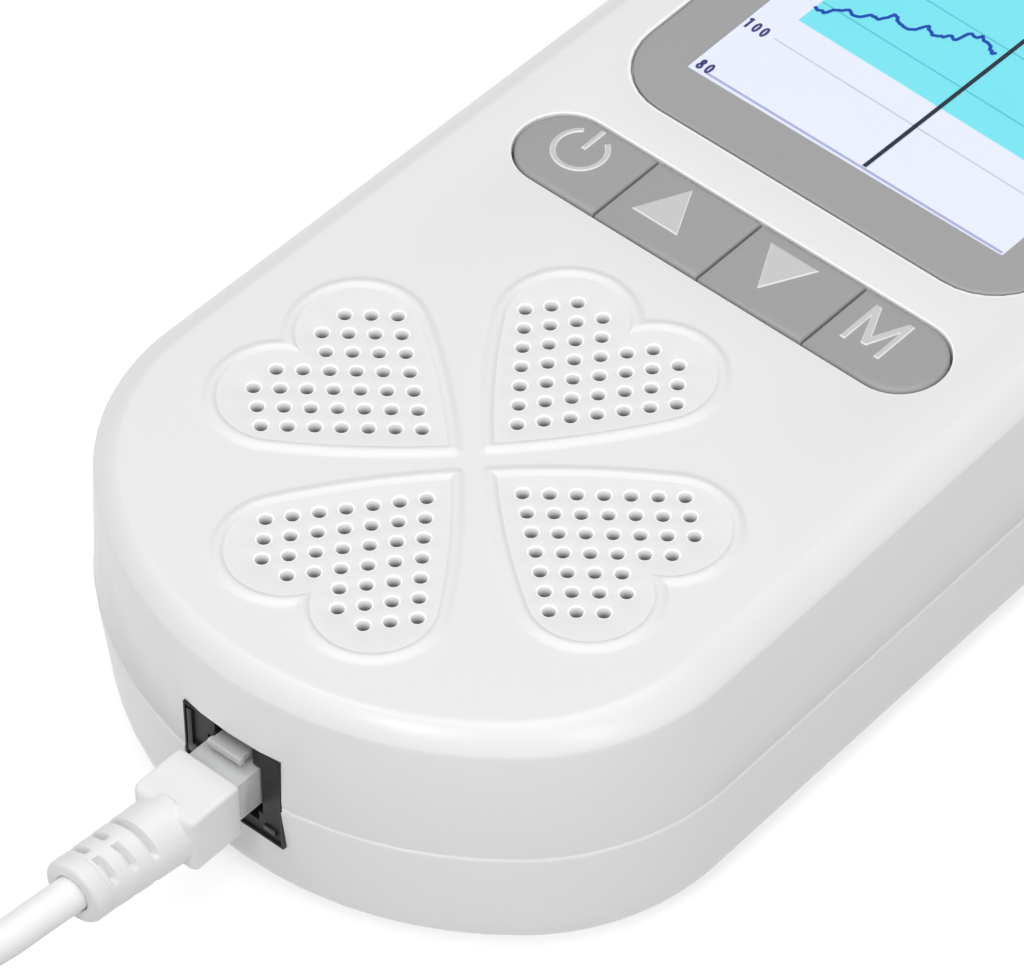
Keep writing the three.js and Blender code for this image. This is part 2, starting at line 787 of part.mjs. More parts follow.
function jackHousing() {
  const collarHalf = socketHalfWidth - fitGap;
  const low = partingHeight - socketHalfHeight + fitGap;
  const high = partingHeight + socketHalfHeight - fitGap;
  const face = socketWallY + socketFaceInset;
  const shoulder = socketWallY + wall + frontDraft + 2 * fitGap;
  const collar = block(-collarHalf, collarHalf, face, shoulder + overrun, low, high);
  const body = block(-collarHalf, collarHalf, shoulder, face + jackLength, low, high + jackRise);
  const recess = block(
    collarWall - collarHalf, collarHalf - collarWall, face - overrun, face + recessDepth,
    low + collarWall, high - collarTopWall,
  );
  const plugHalf = plugWidth / 2 + fitGap;
  const tunnelEnd = plugTipY + overrun;
  const tunnelBottom = plugAxisZ - plugHeight / 2 - contactRise - fitGap;
  const tunnel = block(-plugHalf, plugHalf, face, tunnelEnd, tunnelBottom, plugTop + fitGap);
  const latchRoom = block(
    -latchWidth / 2 - fitGap, latchWidth / 2 + fitGap, face, tunnelEnd, plugTop, high - collarTopWall,
  );
  return union([collar, body]).subtract(union([recess, tunnel, latchRoom]));
}

function jackContact(index) {
  const x = (index - (contactCount - 1) / 2) * contactPitch;
  const y1 = plugTipY + overrun - fitGap;
  const z1 = plugAxisZ - plugHeight / 2 - fitGap;
  const half = contactWidth / 2;
  return block(x - half, x + half, y1 - contactLength, y1, z1 - contactRise + fitGap, z1);
}

place('jack_housing', jackHousing(), blackPlastic);
for (let index = 0; index < contactCount; index += 1) {
  place(`jack_contact_${index + 1}`, jackContact(index), gold);
}

// Battery cells with their springs and plates

for (let index = 0; index < cellCount; index += 1) {
  const x = (index - (cellCount - 1) / 2) * cellPitch;
  const turnedRound = index % 2 === 1;
  const sign = turnedRound ? -1 : 1;
  const springY = turnedRound ? bayHighY : bayLowY;
  const plateY = turnedRound ? bayLowY : bayHighY - plateThickness;
  const along = (body, y) => body.rotate([-90 * sign, 0, 0]).translate([x, y, cellZ]);
  const nub = cellLength + cellNubLength;
  const cell = turned([[0, 0], [cellRadius, 0], [cellRadius, cellLength], [cellNubRadius, cellLength],
    [cellNubRadius, nub], [0, nub]], cellSides);
  const spring = turned([[0, 0], [springRadius, 0], [springRadius / 2, springLength], [0, springLength]],
    screwSides);
  const half = plateWidth / 2;
  const z0 = cellZ - plateHeight / 2;
  const plate = block(x - half, x + half, plateY, plateY + plateThickness, z0, z0 + plateHeight);
  place(`battery_cell_${index + 1}`, along(cell, springY + sign * (springLength + fitGap)), cellGrey);
  place(`battery_spring_${index + 1}`, along(spring, springY), steel);
  place(`battery_plate_${index + 1}`, plate, steel);
}

// Case screws

screwPlaces.forEach(([x, y], index) => {
  const shank = screwHeadZ + screwHeadHeight;
  const body = union([
    post(screwHeadRadius, screwHeadZ, shank - fitGap, x, y, screwSides),
    post(screwRadius, shank - fitGap * 2, shank + screwLength, x, y, screwSides),
  ]);
  const half = crossLength / 2;
  const thin = crossWidth / 2;
  const z0 = screwHeadZ - overrun;
  const z1 = screwHeadZ + crossDepth;
  const cross = union([
    block(x - half, x + half, y - thin, y + thin, z0, z1),
    block(x - thin, x + thin, y - half, y + half, z0, z1),
  ]);
  place(`case_screw_${index + 1}`, body.subtract(cross), steel);
});

// Plug, latch and moulded boot at the unit's end of the lead

const latchAngle = THREE.MathUtils.radToDeg(Math.asin(latchLift / latchLength));

function plugBody() {
  const half = plugWidth / 2;
  return block(-half, half, blockY + fitGap, plugTipY, plugAxisZ - plugHeight / 2, plugTop);
}

function plugLatch() {
  const half = latchWidth / 2;
  const blade = block(-half, half, -latchLength, 0, 0, latchThickness);
  return blade.rotate([-latchAngle, 0, 0]).translate([0, latchY, latchZ]);
}

// A body made along Z, turned to run from one point towards another
function aimed(body, from, to) {
  const turn = new THREE.Quaternion().setFromUnitVectors(
    new THREE.Vector3(0, 0, 1), to.clone().sub(from).normalize(),
  );
  const matrix = new THREE.Matrix4().compose(from, turn, new THREE.Vector3(1, 1, 1));
  return body.transform(matrix.toArray());
}

const reliefStart = new THREE.Vector3(0, blockY - blockLength, plugAxisZ);
const reliefEnd = new THREE.Vector3(
  -reliefSideLean, reliefStart.y - reliefLength, plugAxisZ - reliefDrop,
);

function relief() {
  const ringStart = reliefLength - reliefRingLength;
  const body = turned([[0, -blockChamfer], [reliefStartRadius, -blockChamfer], [reliefStartRadius, 0],
    [reliefEndRadius, ringStart], [reliefRingRadius, ringStart], [reliefRingRadius, reliefLength],
    [0, reliefLength]], coneSides);
  const slots = Array.from({ length: slotCount }, (_, k) => {
    const z0 = slotOffset + k * slotPitch;
    const z1 = z0 + slotWidth;
    const ringCut = post(reliefStartRadius + overrun, z0, z1, 0, 0, coneSides)
      .subtract(post(reliefCoreRadius, z0 - overrun, z1 + overrun, 0, 0, coneSides));
    const [reach, half] = [reliefStartRadius + 2 * overrun, slotBridge / 2];
    const [x, y] = k === 0 ? [reach, half] : [half, reach];
    return ringCut.subtract(block(-x, x, -y, y, z0 - overrun, z1 + overrun));
  });
  return aimed(body.subtract(union(slots)), reliefStart, reliefEnd);
}

function cordBoot() {
  const half = blockWidth / 2;
  const [low, high] = [plugAxisZ - blockHeight / 2, plugAxisZ + blockHeight / 2];
  const profile = (x, y0, y1) => [[-x, y0], [x, y0], [x, y1], [-x, y1]].map((p) => new THREE.Vector2(...p));
  const ringAt = (inset, z) => ({ points: profile(half - inset, low + inset, high - inset), z });
  const rear = loft([
    ringAt(0, 0), ringAt(0, blockLength - blockChamfer), ringAt(blockChamfer, blockLength),
  ]);
  return rear.rotate([90, 0, 0]).translate([0, blockY, 0]).add(relief());
}

place('plug_body', plugBody(), plugClear);
place('plug_latch', plugLatch(), plugClear);
place('cord_boot', cordBoot(), cableWhite);

// Lead: a free stretch down to the surface, a two-layer coil held by a tie, and a short tail

const cableRadius = cableDiameter / 2;
const coilLayerZ = [0, 1].map((layer) => tieThickness + fitGap + cableRadius + layer * coilPitch);
const coilStartX = coilCentreX - coilOuterRadius;

// Probe axis: it rests on the wide end of its grip and the back edge of its head
const probeHeadStart = probeTaperLength + probeGripLength + probeFlareLength;
const probeTilt = Math.atan((probeHeadRadius - probeGripRadius) / (probeHeadStart - probeTaperLength));
const probeZ = probeGripRadius * Math.cos(probeTilt) - probeTaperLength * Math.sin(probeTilt);
const probeStart = new THREE.Vector3(coilStartX, probeY, probeZ);

const runPoints = [
  [-1.6, -107.6, 18.45], [-2.5, -111.6, 17.7], [-4.2, -116.8, 16], [-8, -122.6, 13.3], [-14, -129, 9.7],
  [-19.2, -136, 6.2], [-21.4, -143, 3.8], [-20.7, -149, 3.2], [-20.2, -153.1, 3.2],
];
const tailPoints = [
  [-20.2, -162.9, 8.4], [-20.2, -169, 8.3], [-20.2, -176, 8.4], [-20.2, -184, 9], [-20.2, -192, 10.2],
  [-20.2, -199.7, 11.4],
];

// A closed tube along a curve, its section a regular polygon
function tube(curve, steps, sides) {
  const section = new THREE.Shape(Array.from({ length: sides }, (_, k) => {
    const angle = 2 * Math.PI * k / sides;
    return new THREE.Vector2(cableRadius * Math.cos(angle), cableRadius * Math.sin(angle));
  }));
  return solid(new THREE.ExtrudeGeometry(section, { steps, bevelEnabled: false, extrudePath: curve }));
}

function stretch(points) {
  const curve = new THREE.CatmullRomCurve3(points.map((p) => new THREE.Vector3(...p)));
  return tube(curve, Math.round(curve.getLength() / tubeStep), tubeSides);
}

const coilEndTurns = cableDiameter / (2 * Math.PI * coilOuterRadius);
const coilMiddle = coilTurns / 2;

// The coil winds in on the lower layer, climbs in the half turn where it reverses, and winds out again
class CoilCurve extends THREE.Curve {
  getPoint(share, target = new THREE.Vector3()) {
    const turns = share * (coilTurns + 2 * coilEndTurns) - coilEndTurns;
    const wound = THREE.MathUtils.clamp(turns, 0, coilTurns);
    const fromReversal = wound - coilMiddle;
    const radius = coilOuterRadius - coilPitch * (coilMiddle - Math.abs(fromReversal));
    const climb = THREE.MathUtils.smoothstep(fromReversal, -1 / 4, 1 / 4);
    const angle = Math.PI + 2 * Math.PI * wound;
    return target.set(
      coilCentreX + radius * Math.cos(angle),
      coilCentreY + radius * Math.sin(angle) - (turns - wound) * 2 * Math.PI * coilOuterRadius,
      THREE.MathUtils.lerp(coilLayerZ[0], coilLayerZ[1], climb),
    );
  }
}

const coilCurve = new CoilCurve();

function coil() {
  return tube(coilCurve, coilTurns * loopSteps, loopSides);
}

// Least gap of the coil to itself, between points of its middle line at least half a turn apart
function coilGap() {
  const points = coilCurve.getSpacedPoints(coilTurns * loopSteps * gapSamples);
  const apart = loopSteps * gapSamples / 2;
  let least = Infinity;
  points.forEach((point, k) => {
    for (const other of points.slice(k + apart)) least = Math.min(least, point.distanceTo(other));
  });
  return least - cableDiameter;
}

console.log(`Least gap of the coil to itself: ${coilGap().toFixed(2)} mm`);

function coilTie() {
  const coilInner = coilOuterRadius - coilPitch * coilMiddle - cableRadius;
  const holeInner = Math.sqrt(coilInner ** 2 - (tieWidth / 2) ** 2) - fitGap;
  const holeOuter = coilOuterRadius + cableRadius + fitGap;
  const holeTop = coilLayerZ[1] + cableRadius + fitGap;
  const [x0, x1] = [coilCentreX - tieWidth / 2, coilCentreX + tieWidth / 2];
  const [y0, y1] = [coilCentreY + holeInner, coilCentreY + holeOuter];
  const outer = block(x0, x1, y0 - tieThickness, y1 + tieThickness, 0, holeTop + tieThickness);
  return outer.subtract(block(x0 - overrun, x1 + overrun, y0, y1, tieThickness, holeTop));
}

place('cord_run', stretch(runPoints), cableWhite);
place('cord_coil', coil(), cableWhite);
place('coil_tie', coilTie(), blackPlastic);
place('cord_tail', stretch(tailPoints), cableWhite);

// Probe: in its own turned group, its axis along Z from the lead's end to its face

const probe = new THREE.Group();
probe.position.copy(probeStart);
probe.rotation.x = Math.PI / 2 - probeTilt;
group.add(probe);

const probeShellLength = probeHeadStart + probeHeadLength;
const probeBore = probeHeadRadius - probeWall;

function probeProfile(inset) {
  const bulgeRadius = (probeTailRadius + probeGripRadius) / 2 + probeTaperBulge;
  return [
    [probeTailRadius - inset, inset], [bulgeRadius - inset, probeTaperLength / 3],
    [probeGripRadius - inset, probeTaperLength],
    [probeWaistRadius - inset, probeTaperLength + probeGripLength],
    [probeHeadRadius - inset, probeHeadStart],
  ];
}

function probeShell(side) {
  const face = probeShellLength;
  const end = face + overrun;
  const outer = turned([[0, 0], ...probeProfile(0), [probeHeadRadius, face], [0, face]], probeSides);
  const inner = turned(
    [[0, probeWall], ...probeProfile(probeWall), [probeBore, end], [0, end]], probeSides,
  );
  const neck = post(probeNeckRadius + fitGap, -overrun, probeWall + overrun, 0, 0, coneSides);
  const reach = probeHeadRadius + overrun;
  const half = block(-reach, reach, ...ordered(side * fitGap / 2, side * reach), -overrun, end);
  return outer.subtract(inner).subtract(neck).intersect(half);
}

const ringStartZ = probeShellLength + fitGap;
const faceRadius = probeBore - fitGap - probeFaceWall - fitGap;
const faceEndZ = ringStartZ + probeRingLength + probeFaceRise;
const faceStartZ = faceEndZ - probeFaceLength;

function probeRing() {
  const end = ringStartZ + probeRingLength;
  const rim = post(probeHeadRadius - probeRingInset, ringStartZ, end, 0, 0, probeSides);
  const sleeve = post(probeBore - fitGap, ringStartZ - probeSleeveLength, end, 0, 0, probeSides);
  const bore = post(
    faceRadius + fitGap, ringStartZ - probeSleeveLength - overrun, end + overrun, 0, 0, probeSides,
  );
  return rim.add(sleeve).subtract(bore);
}

function probeCrystal(side) {
  const z1 = faceStartZ - fitGap;
  const disc = post(crystalRadius, z1 - crystalThickness, z1, 0, 0, probeSides);
  const wide = crystalRadius + overrun;
  const [low, high] = ordered(side * crystalGap / 2, side * wide);
  return disc.intersect(block(-wide, wide, low, high, z1 - crystalThickness - overrun, z1 + overrun));
}

function probeBoard() {
  const half = (probeWaistRadius - probeWall) * Math.cos(Math.PI / probeSides) - fitGap;
  const z0 = probeTaperLength + (probeGripLength - probeBoardLength) / 2;
  const thin = probeBoardThickness / 2;
  return block(-half, half, -thin, thin, z0, z0 + probeBoardLength);
}

function probeRelief() {
  const collar = probeWall + fitGap;
  return turned([[0, -probeReliefLength], [probeReliefEndRadius, -probeReliefLength],
    [probeReliefRadius, -fitGap], [probeNeckRadius, -fitGap], [probeNeckRadius, collar],
    [probeFlangeRadius, collar], [probeFlangeRadius, collar + probeFlangeThickness],
    [0, collar + probeFlangeThickness]], coneSides);
}

place('probe_shell_top', probeShell(1), housingWhite, probe);
place('probe_shell_bottom', probeShell(-1), housingWhite, probe);
place('probe_ring', probeRing(), keyGrey, probe);
place('probe_face', post(faceRadius, faceStartZ, faceEndZ, 0, 0, probeSides), lensGrey, probe);
place('probe_crystal_1', probeCrystal(1), ceramicTan, probe);
place('probe_crystal_2', probeCrystal(-1), ceramicTan, probe);
place('probe_board', probeBoard(), boardGreen, probe);
place('probe_relief', probeRelief(), cableWhite, probe);

export default group;
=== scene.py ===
"""Fetal doppler monitor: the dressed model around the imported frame. Sizes are in millimetres."""

import math

import bmesh
import bpy
from mathutils import Matrix, Vector, noise
from mathutils.geometry import delaunay_2d_cdt


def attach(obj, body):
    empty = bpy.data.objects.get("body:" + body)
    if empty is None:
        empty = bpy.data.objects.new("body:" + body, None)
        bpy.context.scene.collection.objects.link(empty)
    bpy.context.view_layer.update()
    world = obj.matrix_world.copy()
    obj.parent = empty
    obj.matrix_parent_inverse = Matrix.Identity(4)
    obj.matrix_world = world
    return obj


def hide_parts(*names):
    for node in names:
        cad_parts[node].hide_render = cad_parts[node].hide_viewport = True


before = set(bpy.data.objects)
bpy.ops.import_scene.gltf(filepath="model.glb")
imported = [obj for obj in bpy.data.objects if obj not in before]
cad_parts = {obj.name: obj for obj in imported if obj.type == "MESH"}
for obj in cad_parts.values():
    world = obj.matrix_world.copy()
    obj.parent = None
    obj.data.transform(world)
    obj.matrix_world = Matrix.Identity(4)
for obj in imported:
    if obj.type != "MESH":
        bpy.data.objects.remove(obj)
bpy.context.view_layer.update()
MM = 0.001
TAU = 2 * math.pi
QUARTER = TAU / 4

# Sizes shared with the CAD model
FIT = 0.3
HALF_LENGTH = 83
CORNER_RADIUS = 30.8
END_RADIUS = 50.2
CORNER_X = 12.9
FAR_NARROWING = 2.2
FACE_Z = 37.5
UNDER_FACE_Z = 35.1
FRONT_DRAFT = 0.8
WALL = 2.4
CLOVER_Y = -41
HOLE_RADIUS = 0.82
PILL_HALF = 32.2
PILL_Y = 4
PILL_RADIUS = 6.25
PILL_REACH = PILL_HALF - PILL_RADIUS
KEY_PITCH = 16.1
KEY_TOP = 37.6
WINDOW_FLOOR = 36.2
HOOK_ROWS = (-53.4, -32.6, -11.8)
PICTURE_Z = 37.1
CABLE_DIAMETER = 4.6
COIL_CENTRE = (14, -158)
COIL_RADIUS = 34.2
COIL_PITCH = 5.2
COIL_TURNS = 7
COIL_LAYERS = (3.2, 8.4)

# Rectangles: half width, low, high and, where their corners are round, radius
WINDOW = (31.6, 16.45, 65.75, 9.5)
SCREEN = (24.5, 24.4, 61.0)
APERTURE = (25.3, 23.6, 61.8, 0.6)
DOOR = (23.7, -62.4, -3.8, 3.0)


# Camera at the photograph's viewing angle

def make_camera():
    data = bpy.data.cameras.new("camera")
    data.sensor_fit = "HORIZONTAL"
    data.sensor_width = 36
    data.lens = 316.4
    data.clip_end = 50
    camera = bpy.data.objects.new("camera", data)
    right = Vector((0.74454, 0.66734, -0.01803)).normalized()
    back = Vector((0.46937, -0.50409, 0.72497))
    back = (back - back.dot(right) * right).normalized()
    up = back.cross(right)
    turn = Matrix((right, up, back)).transposed().to_4x4()
    camera.matrix_world = Matrix.Translation(Vector((488.7, -559.26, 783.28)) * MM) @ turn
    bpy.context.scene.collection.objects.link(camera)
    bpy.context.scene.camera = camera


make_camera()
bpy.context.scene.view_settings.view_transform = "Standard"


# Materials

NOISE_SPAN = (0.1, 0.9)


def colour(red, green, blue):
    """The display's colour numbers, 0 to 255, as the linear colour that the shader takes."""
    def linear(value):
        share = value / 255
        return share / 12.92 if share <= 0.04045 else ((share + 0.055) / 1.055) ** 2.4
    return (linear(red), linear(green), linear(blue), 1.0)


def wired(tree, kind, inputs, **settings):
    """A new node; each input takes a value, or the output that drives it."""
    node = tree.nodes.new(kind)
    for key, value in settings.items():
        setattr(node, key, value)
    for key, value in inputs.items():
        if isinstance(value, bpy.types.NodeSocket):
            tree.links.new(value, node.inputs[key])
        else:
            node.inputs[key].default_value = value
    return node


def ranged(tree, value, low, high, from_low, from_high):
    limits = {"From Min": from_low, "From Max": from_high, "To Min": low, "To Max": high}
    return wired(tree, "ShaderNodeMapRange", {"Value": value, **limits}).outputs["Result"]


def seen_directly(tree):
    """1 for rays from the camera, off a gloss or through a clear piece, and 0 for the rest."""
    rays = tree.nodes.new("ShaderNodeLightPath").outputs
    share = rays["Is Camera Ray"]
    for kind in ("Is Glossy Ray", "Is Transmission Ray"):
        both = wired(tree, "ShaderNodeMath", {0: share, 1: rays[kind]}, operation="MAXIMUM")
        share = both.outputs[0]
    return share


class Finish:
    """A procedural material: its colour, roughness and relief each vary through their own noise."""

    def __init__(self, name):
        self.material = bpy.data.materials.new(name)
        self.material.use_nodes = True
        self.tree = self.material.node_tree
        self.shader = self.tree.nodes["Principled BSDF"]
        self.place = self.tree.nodes.new("ShaderNodeTexCoord").outputs["Object"]

    def drive(self, key, output):
        self.tree.links.new(output, self.shader.inputs[key])

    def noise(self, scale, detail=3.0):
        inputs = {"Vector": self.place, "Scale": scale, "Detail": detail}
        return wired(self.tree, "ShaderNodeTexNoise", inputs).outputs["Fac"]

    def wave(self, scale, axis, distortion=0.0):
        inputs = {"Vector": self.place, "Scale": scale, "Distortion": distortion}
        return wired(self.tree, "ShaderNodeTexWave", inputs, bands_direction=axis).outputs["Fac"]

    def along(self, axis, low, high):
        """0 to 1 between two heights, in metres, along one of the piece's axes."""
        split = wired(self.tree, "ShaderNodeSeparateXYZ", {0: self.place})
        return self.range(split.outputs[axis], 0, 1, low, high)

    def range(self, value, low, high, from_low, from_high):
        return ranged(self.tree, value, low, high, from_low, from_high)

    def mix(self, share, first, second):
        inputs = {0: share, 6: first, 7: second}
        return wired(self.tree, "ShaderNodeMix", inputs, data_type="RGBA").outputs[2]

    def paint(self, first, second, scale, detail=3.0):
        share = self.range(self.noise(scale, detail), 0, 1, *NOISE_SPAN)
        self.drive("Base Color", self.mix(share, first, second))

    def roughness(self, low, high, scale):
        self.drive("Roughness", self.range(self.noise(scale, 2.0), low, high, *NOISE_SPAN))

    def relief(self, height, depth):
        """Bump of that depth in millimetres from a 0 to 1 height."""
        inputs = {"Strength": 1.0, "Distance": depth * MM, "Height": height}
        self.drive("Normal", wired(self.tree, "ShaderNodeBump", inputs).outputs["Normal"])

    def set(self, **values):
        for key, value in values.items():
            self.shader.inputs[key.replace("_", " ")].default_value = value


def darkened(tone, spread):
    return tuple(max(part - spread, 0) for part in tone[:3]) + (1.0,)


def dimmed(tone, share):
    return tuple(part * share for part in tone[:3]) + (1.0,)


def moulded(name, tone, spread, rough, grain_depth, grain_scale=2600, **values):
    """Moulded plastic: faint mottling, a fine spark-eroded grain and slight changes of gloss."""
    finish = Finish(name)
    finish.paint(tone, darkened(tone, spread), 30, 1.5)
    finish.roughness(rough - 0.02, rough + 0.02, 60)
    finish.relief(finish.noise(grain_scale, 2.0), grain_depth)
    finish.set(**values)
    return finish.material


def metal(name, tone, spread, low, high, brush_axis="X"):
    """Brushed metal."""
    finish = Finish(name)
    finish.paint(tone, darkened(tone, spread), 240, 4.0)
    finish.roughness(low, high, 500)
    finish.relief(finish.wave(900, brush_axis, 3.0), 0.01)
    finish.set(Metallic=1.0)
    return finish.material


WHITE = moulded("housing_white", colour(239, 239, 240), 0.006, 0.3, 0.003, 1500)
WHITE_REAR = moulded("housing_white_rear", colour(235, 235, 236), 0.006, 0.3, 0.004, 1500)
# A brighter white for the edges of the key opening and the window: a painted highlight.
WHITE_PAINTED_HIGHLIGHT = moulded("housing_white_painted_highlight", colour(254, 254, 254), 0.006, 0.3, 0.003, 1500)
WHITE_EDGE = moulded("housing_white_lip", colour(240, 240, 241), 0.006, 0.3, 0.006)
KEY_GREY = moulded("key_grey", colour(162, 162, 163), 0.01, 0.44, 0.016, 1900)
LEGEND = moulded("legend_grey", colour(206, 206, 206), 0.008, 0.36, 0.008)
LEGEND_PAINTED_HIGHLIGHT = moulded("legend_painted_highlight", colour(240, 240, 240), 0.008, 0.3, 0.006)
WINDOW_GREY = moulded("window_grey", colour(165, 165, 166), 0.01, 0.3, 0.006)
BLACK = moulded("black_plastic", colour(40, 41, 43), 0.006, 0.42, 0.016)
JACK_BLACK = moulded("jack_black", colour(42, 43, 45), 0.006, 0.42, 0.012, Specular_IOR_Level=0.2)
CABLE = moulded("cable_white", colour(246, 246, 247), 0.01, 0.4, 0.012, 1500, Sheen_Weight=0.06)
BOOT = moulded("boot_white", colour(235, 235, 236), 0.008, 0.38, 0.014, 1300)
SPEAKER = moulded("speaker_black", colour(52, 51, 50), 0.01, 0.8, 0.05, 900)
FOAM = moulded("foam_black", colour(64, 64, 66), 0.02, 0.92, 0.12, 1400)
STEEL = metal("steel", (0.56, 0.57, 0.58, 1.0), 0.06, 0.24, 0.38)
NICKEL = metal("display_metal", (0.60, 0.60, 0.58, 1.0), 0.05, 0.28, 0.42, "Y")
GOLD = metal("gold_contact", (0.83, 0.62, 0.30, 1.0), 0.06, 0.18, 0.3, "Y")
LENS = moulded("probe_lens", colour(188, 192, 198), 0.012, 0.32, 0.006, Coat_Weight=0.3)
CERAMIC = moulded("crystal", colour(203, 184, 144), 0.03, 0.62, 0.02, 1200)


def grille_painted_shade_finish():
    """The wall of a grille hole: white at the face, darker deeper down as painted shade, with a faint
    painted glow.
    """
    finish = Finish("grille_wall_painted_shade")
    # Painted shade: a dark tone deep in the hole, paling to near white at the face.
    painted_depth_shade = finish.mix(finish.noise(2400), colour(140, 140, 142), colour(164, 164, 166))
    pale = finish.mix(finish.along("Z", 0.0360, 0.0371), painted_depth_shade, colour(252, 252, 252))
    finish.drive("Base Color", pale)
    # The same colour also glows faintly, as painted light.
    finish.drive("Emission Color", pale)
    finish.set(Emission_Strength=0.12)
    finish.roughness(0.5, 0.7, 800)
    finish.relief(finish.noise(1600, 2.0), 0.01)
    return finish.material


def board_finish():
    """Solder mask over copper tracks: a darker green with paler lanes and gold pads."""
    finish = Finish("board_green")
    lanes = finish.range(finish.wave(62, "X", 6.0), 0, 1, 0.62, 0.7)
    green = finish.mix(lanes, colour(20, 88, 56), colour(38, 118, 74))
    cells = wired(finish.tree, "ShaderNodeTexVoronoi", {"Vector": finish.place, "Scale": 210})
    pads = finish.range(cells.outputs["Distance"], 1, 0, 0.12, 0.16)
    finish.drive("Base Color", finish.mix(pads, green, colour(196, 160, 84)))
    finish.roughness(0.3, 0.45, 120)
    finish.relief(lanes, 0.03)
    return finish.material


def cell_finish():
    """Printed foil jacket of a dry cell: a dark body and a coppery band at one end."""
    finish = Finish("cell_jacket")
    band = finish.along("Y", -0.0215, -0.0209)
    finish.drive("Base Color", finish.mix(band, colour(52, 56, 62), colour(176, 132, 88)))
    finish.roughness(0.26, 0.38, 200)
    finish.relief(finish.noise(1200, 3.0), 0.02)
    finish.set(Metallic=0.6)
    return finish.material


def strap_finish():
    """Woven nylon hook-and-loop strap, its rows across its width."""
    finish = Finish("tie_black")
    finish.paint(colour(38, 38, 41), colour(58, 58, 62), 900, 4.0)
    weave = finish.mix(0.5, finish.wave(520, "X", 1.0), finish.wave(430, "DIAGONAL", 1.0))
    finish.relief(weave, 0.14)
    finish.roughness(0.72, 0.86, 600)
    finish.set(Sheen_Weight=0.25, Sheen_Roughness=0.5)
    return finish.material


def clear_finish(name, tone, alpha, rough):
    """Clear or frosted plastic."""
    finish = Finish(name)
    finish.paint(tone, dimmed(tone, 0.95), 90)
    finish.roughness(rough, rough + 0.04, 140)
    finish.relief(finish.noise(420, 2.0), 0.004)
    finish.set(Alpha=alpha, Specular_IOR_Level=0.7)
    return finish.material


def lit(name, tone, other, scale, share):
    """A lit part of the display's picture, seen through its pixel rows."""
    finish = Finish(name)
    finish.paint(tone, other, scale, 2.0)
    rows = finish.range(finish.wave(1400, "Y"), 0, 0.05, 0, 1)
    finish.drive("Emission Color", finish.mix(rows, tone, dimmed(tone, 0.8)))
    finish.set(Emission_Strength=share, Roughness=0.4, Specular_IOR_Level=0.1)
    return finish.material


GRILLE_PAINTED_SHADE = grille_painted_shade_finish()
BOARD = board_finish()
CELL = cell_finish()
STRAP = strap_finish()
GLASS = clear_finish("window_clear", (0.2, 0.22, 0.24, 1.0), 0.04, 0.04)
PLUG = clear_finish("plug_clear", colour(214, 215, 216), 0.9, 0.16)
GROUND = lit("screen_ground", colour(230, 236, 252), colour(234, 237, 251), 40, 0.22)
BAND = lit("screen_band", colour(120, 228, 242), colour(128, 232, 242), 40, 0.2)
GRID = lit("screen_grid", colour(206, 211, 222), colour(200, 205, 216), 200, 0.2)
GRID_BAND = lit("screen_grid_band", colour(96, 200, 216), colour(92, 194, 210), 200, 0.2)
LABELS = lit("screen_label", colour(66, 62, 130), colour(72, 68, 140), 300, 0.1)
TRACE = lit("screen_trace", colour(14, 76, 182), colour(12, 70, 176), 300, 0.15)
MARK = lit("screen_mark", colour(34, 44, 56), colour(30, 40, 52), 300, 0.1)
STRIP = lit("screen_strip", colour(176, 182, 226), colour(180, 186, 226), 80, 0.1)


# Meshes

def inside(point, ring):
    """True if a point lies in a closed ring of points."""
    x, y = point
    found = False
    for (x0, y0, *_), (x1, y1, *_) in zip(ring, ring[1:] + ring[:1]):
        if (y0 > y) != (y1 > y) and x < x0 + (y - y0) / (y1 - y0) * (x1 - x0):
            found = not found
    return found


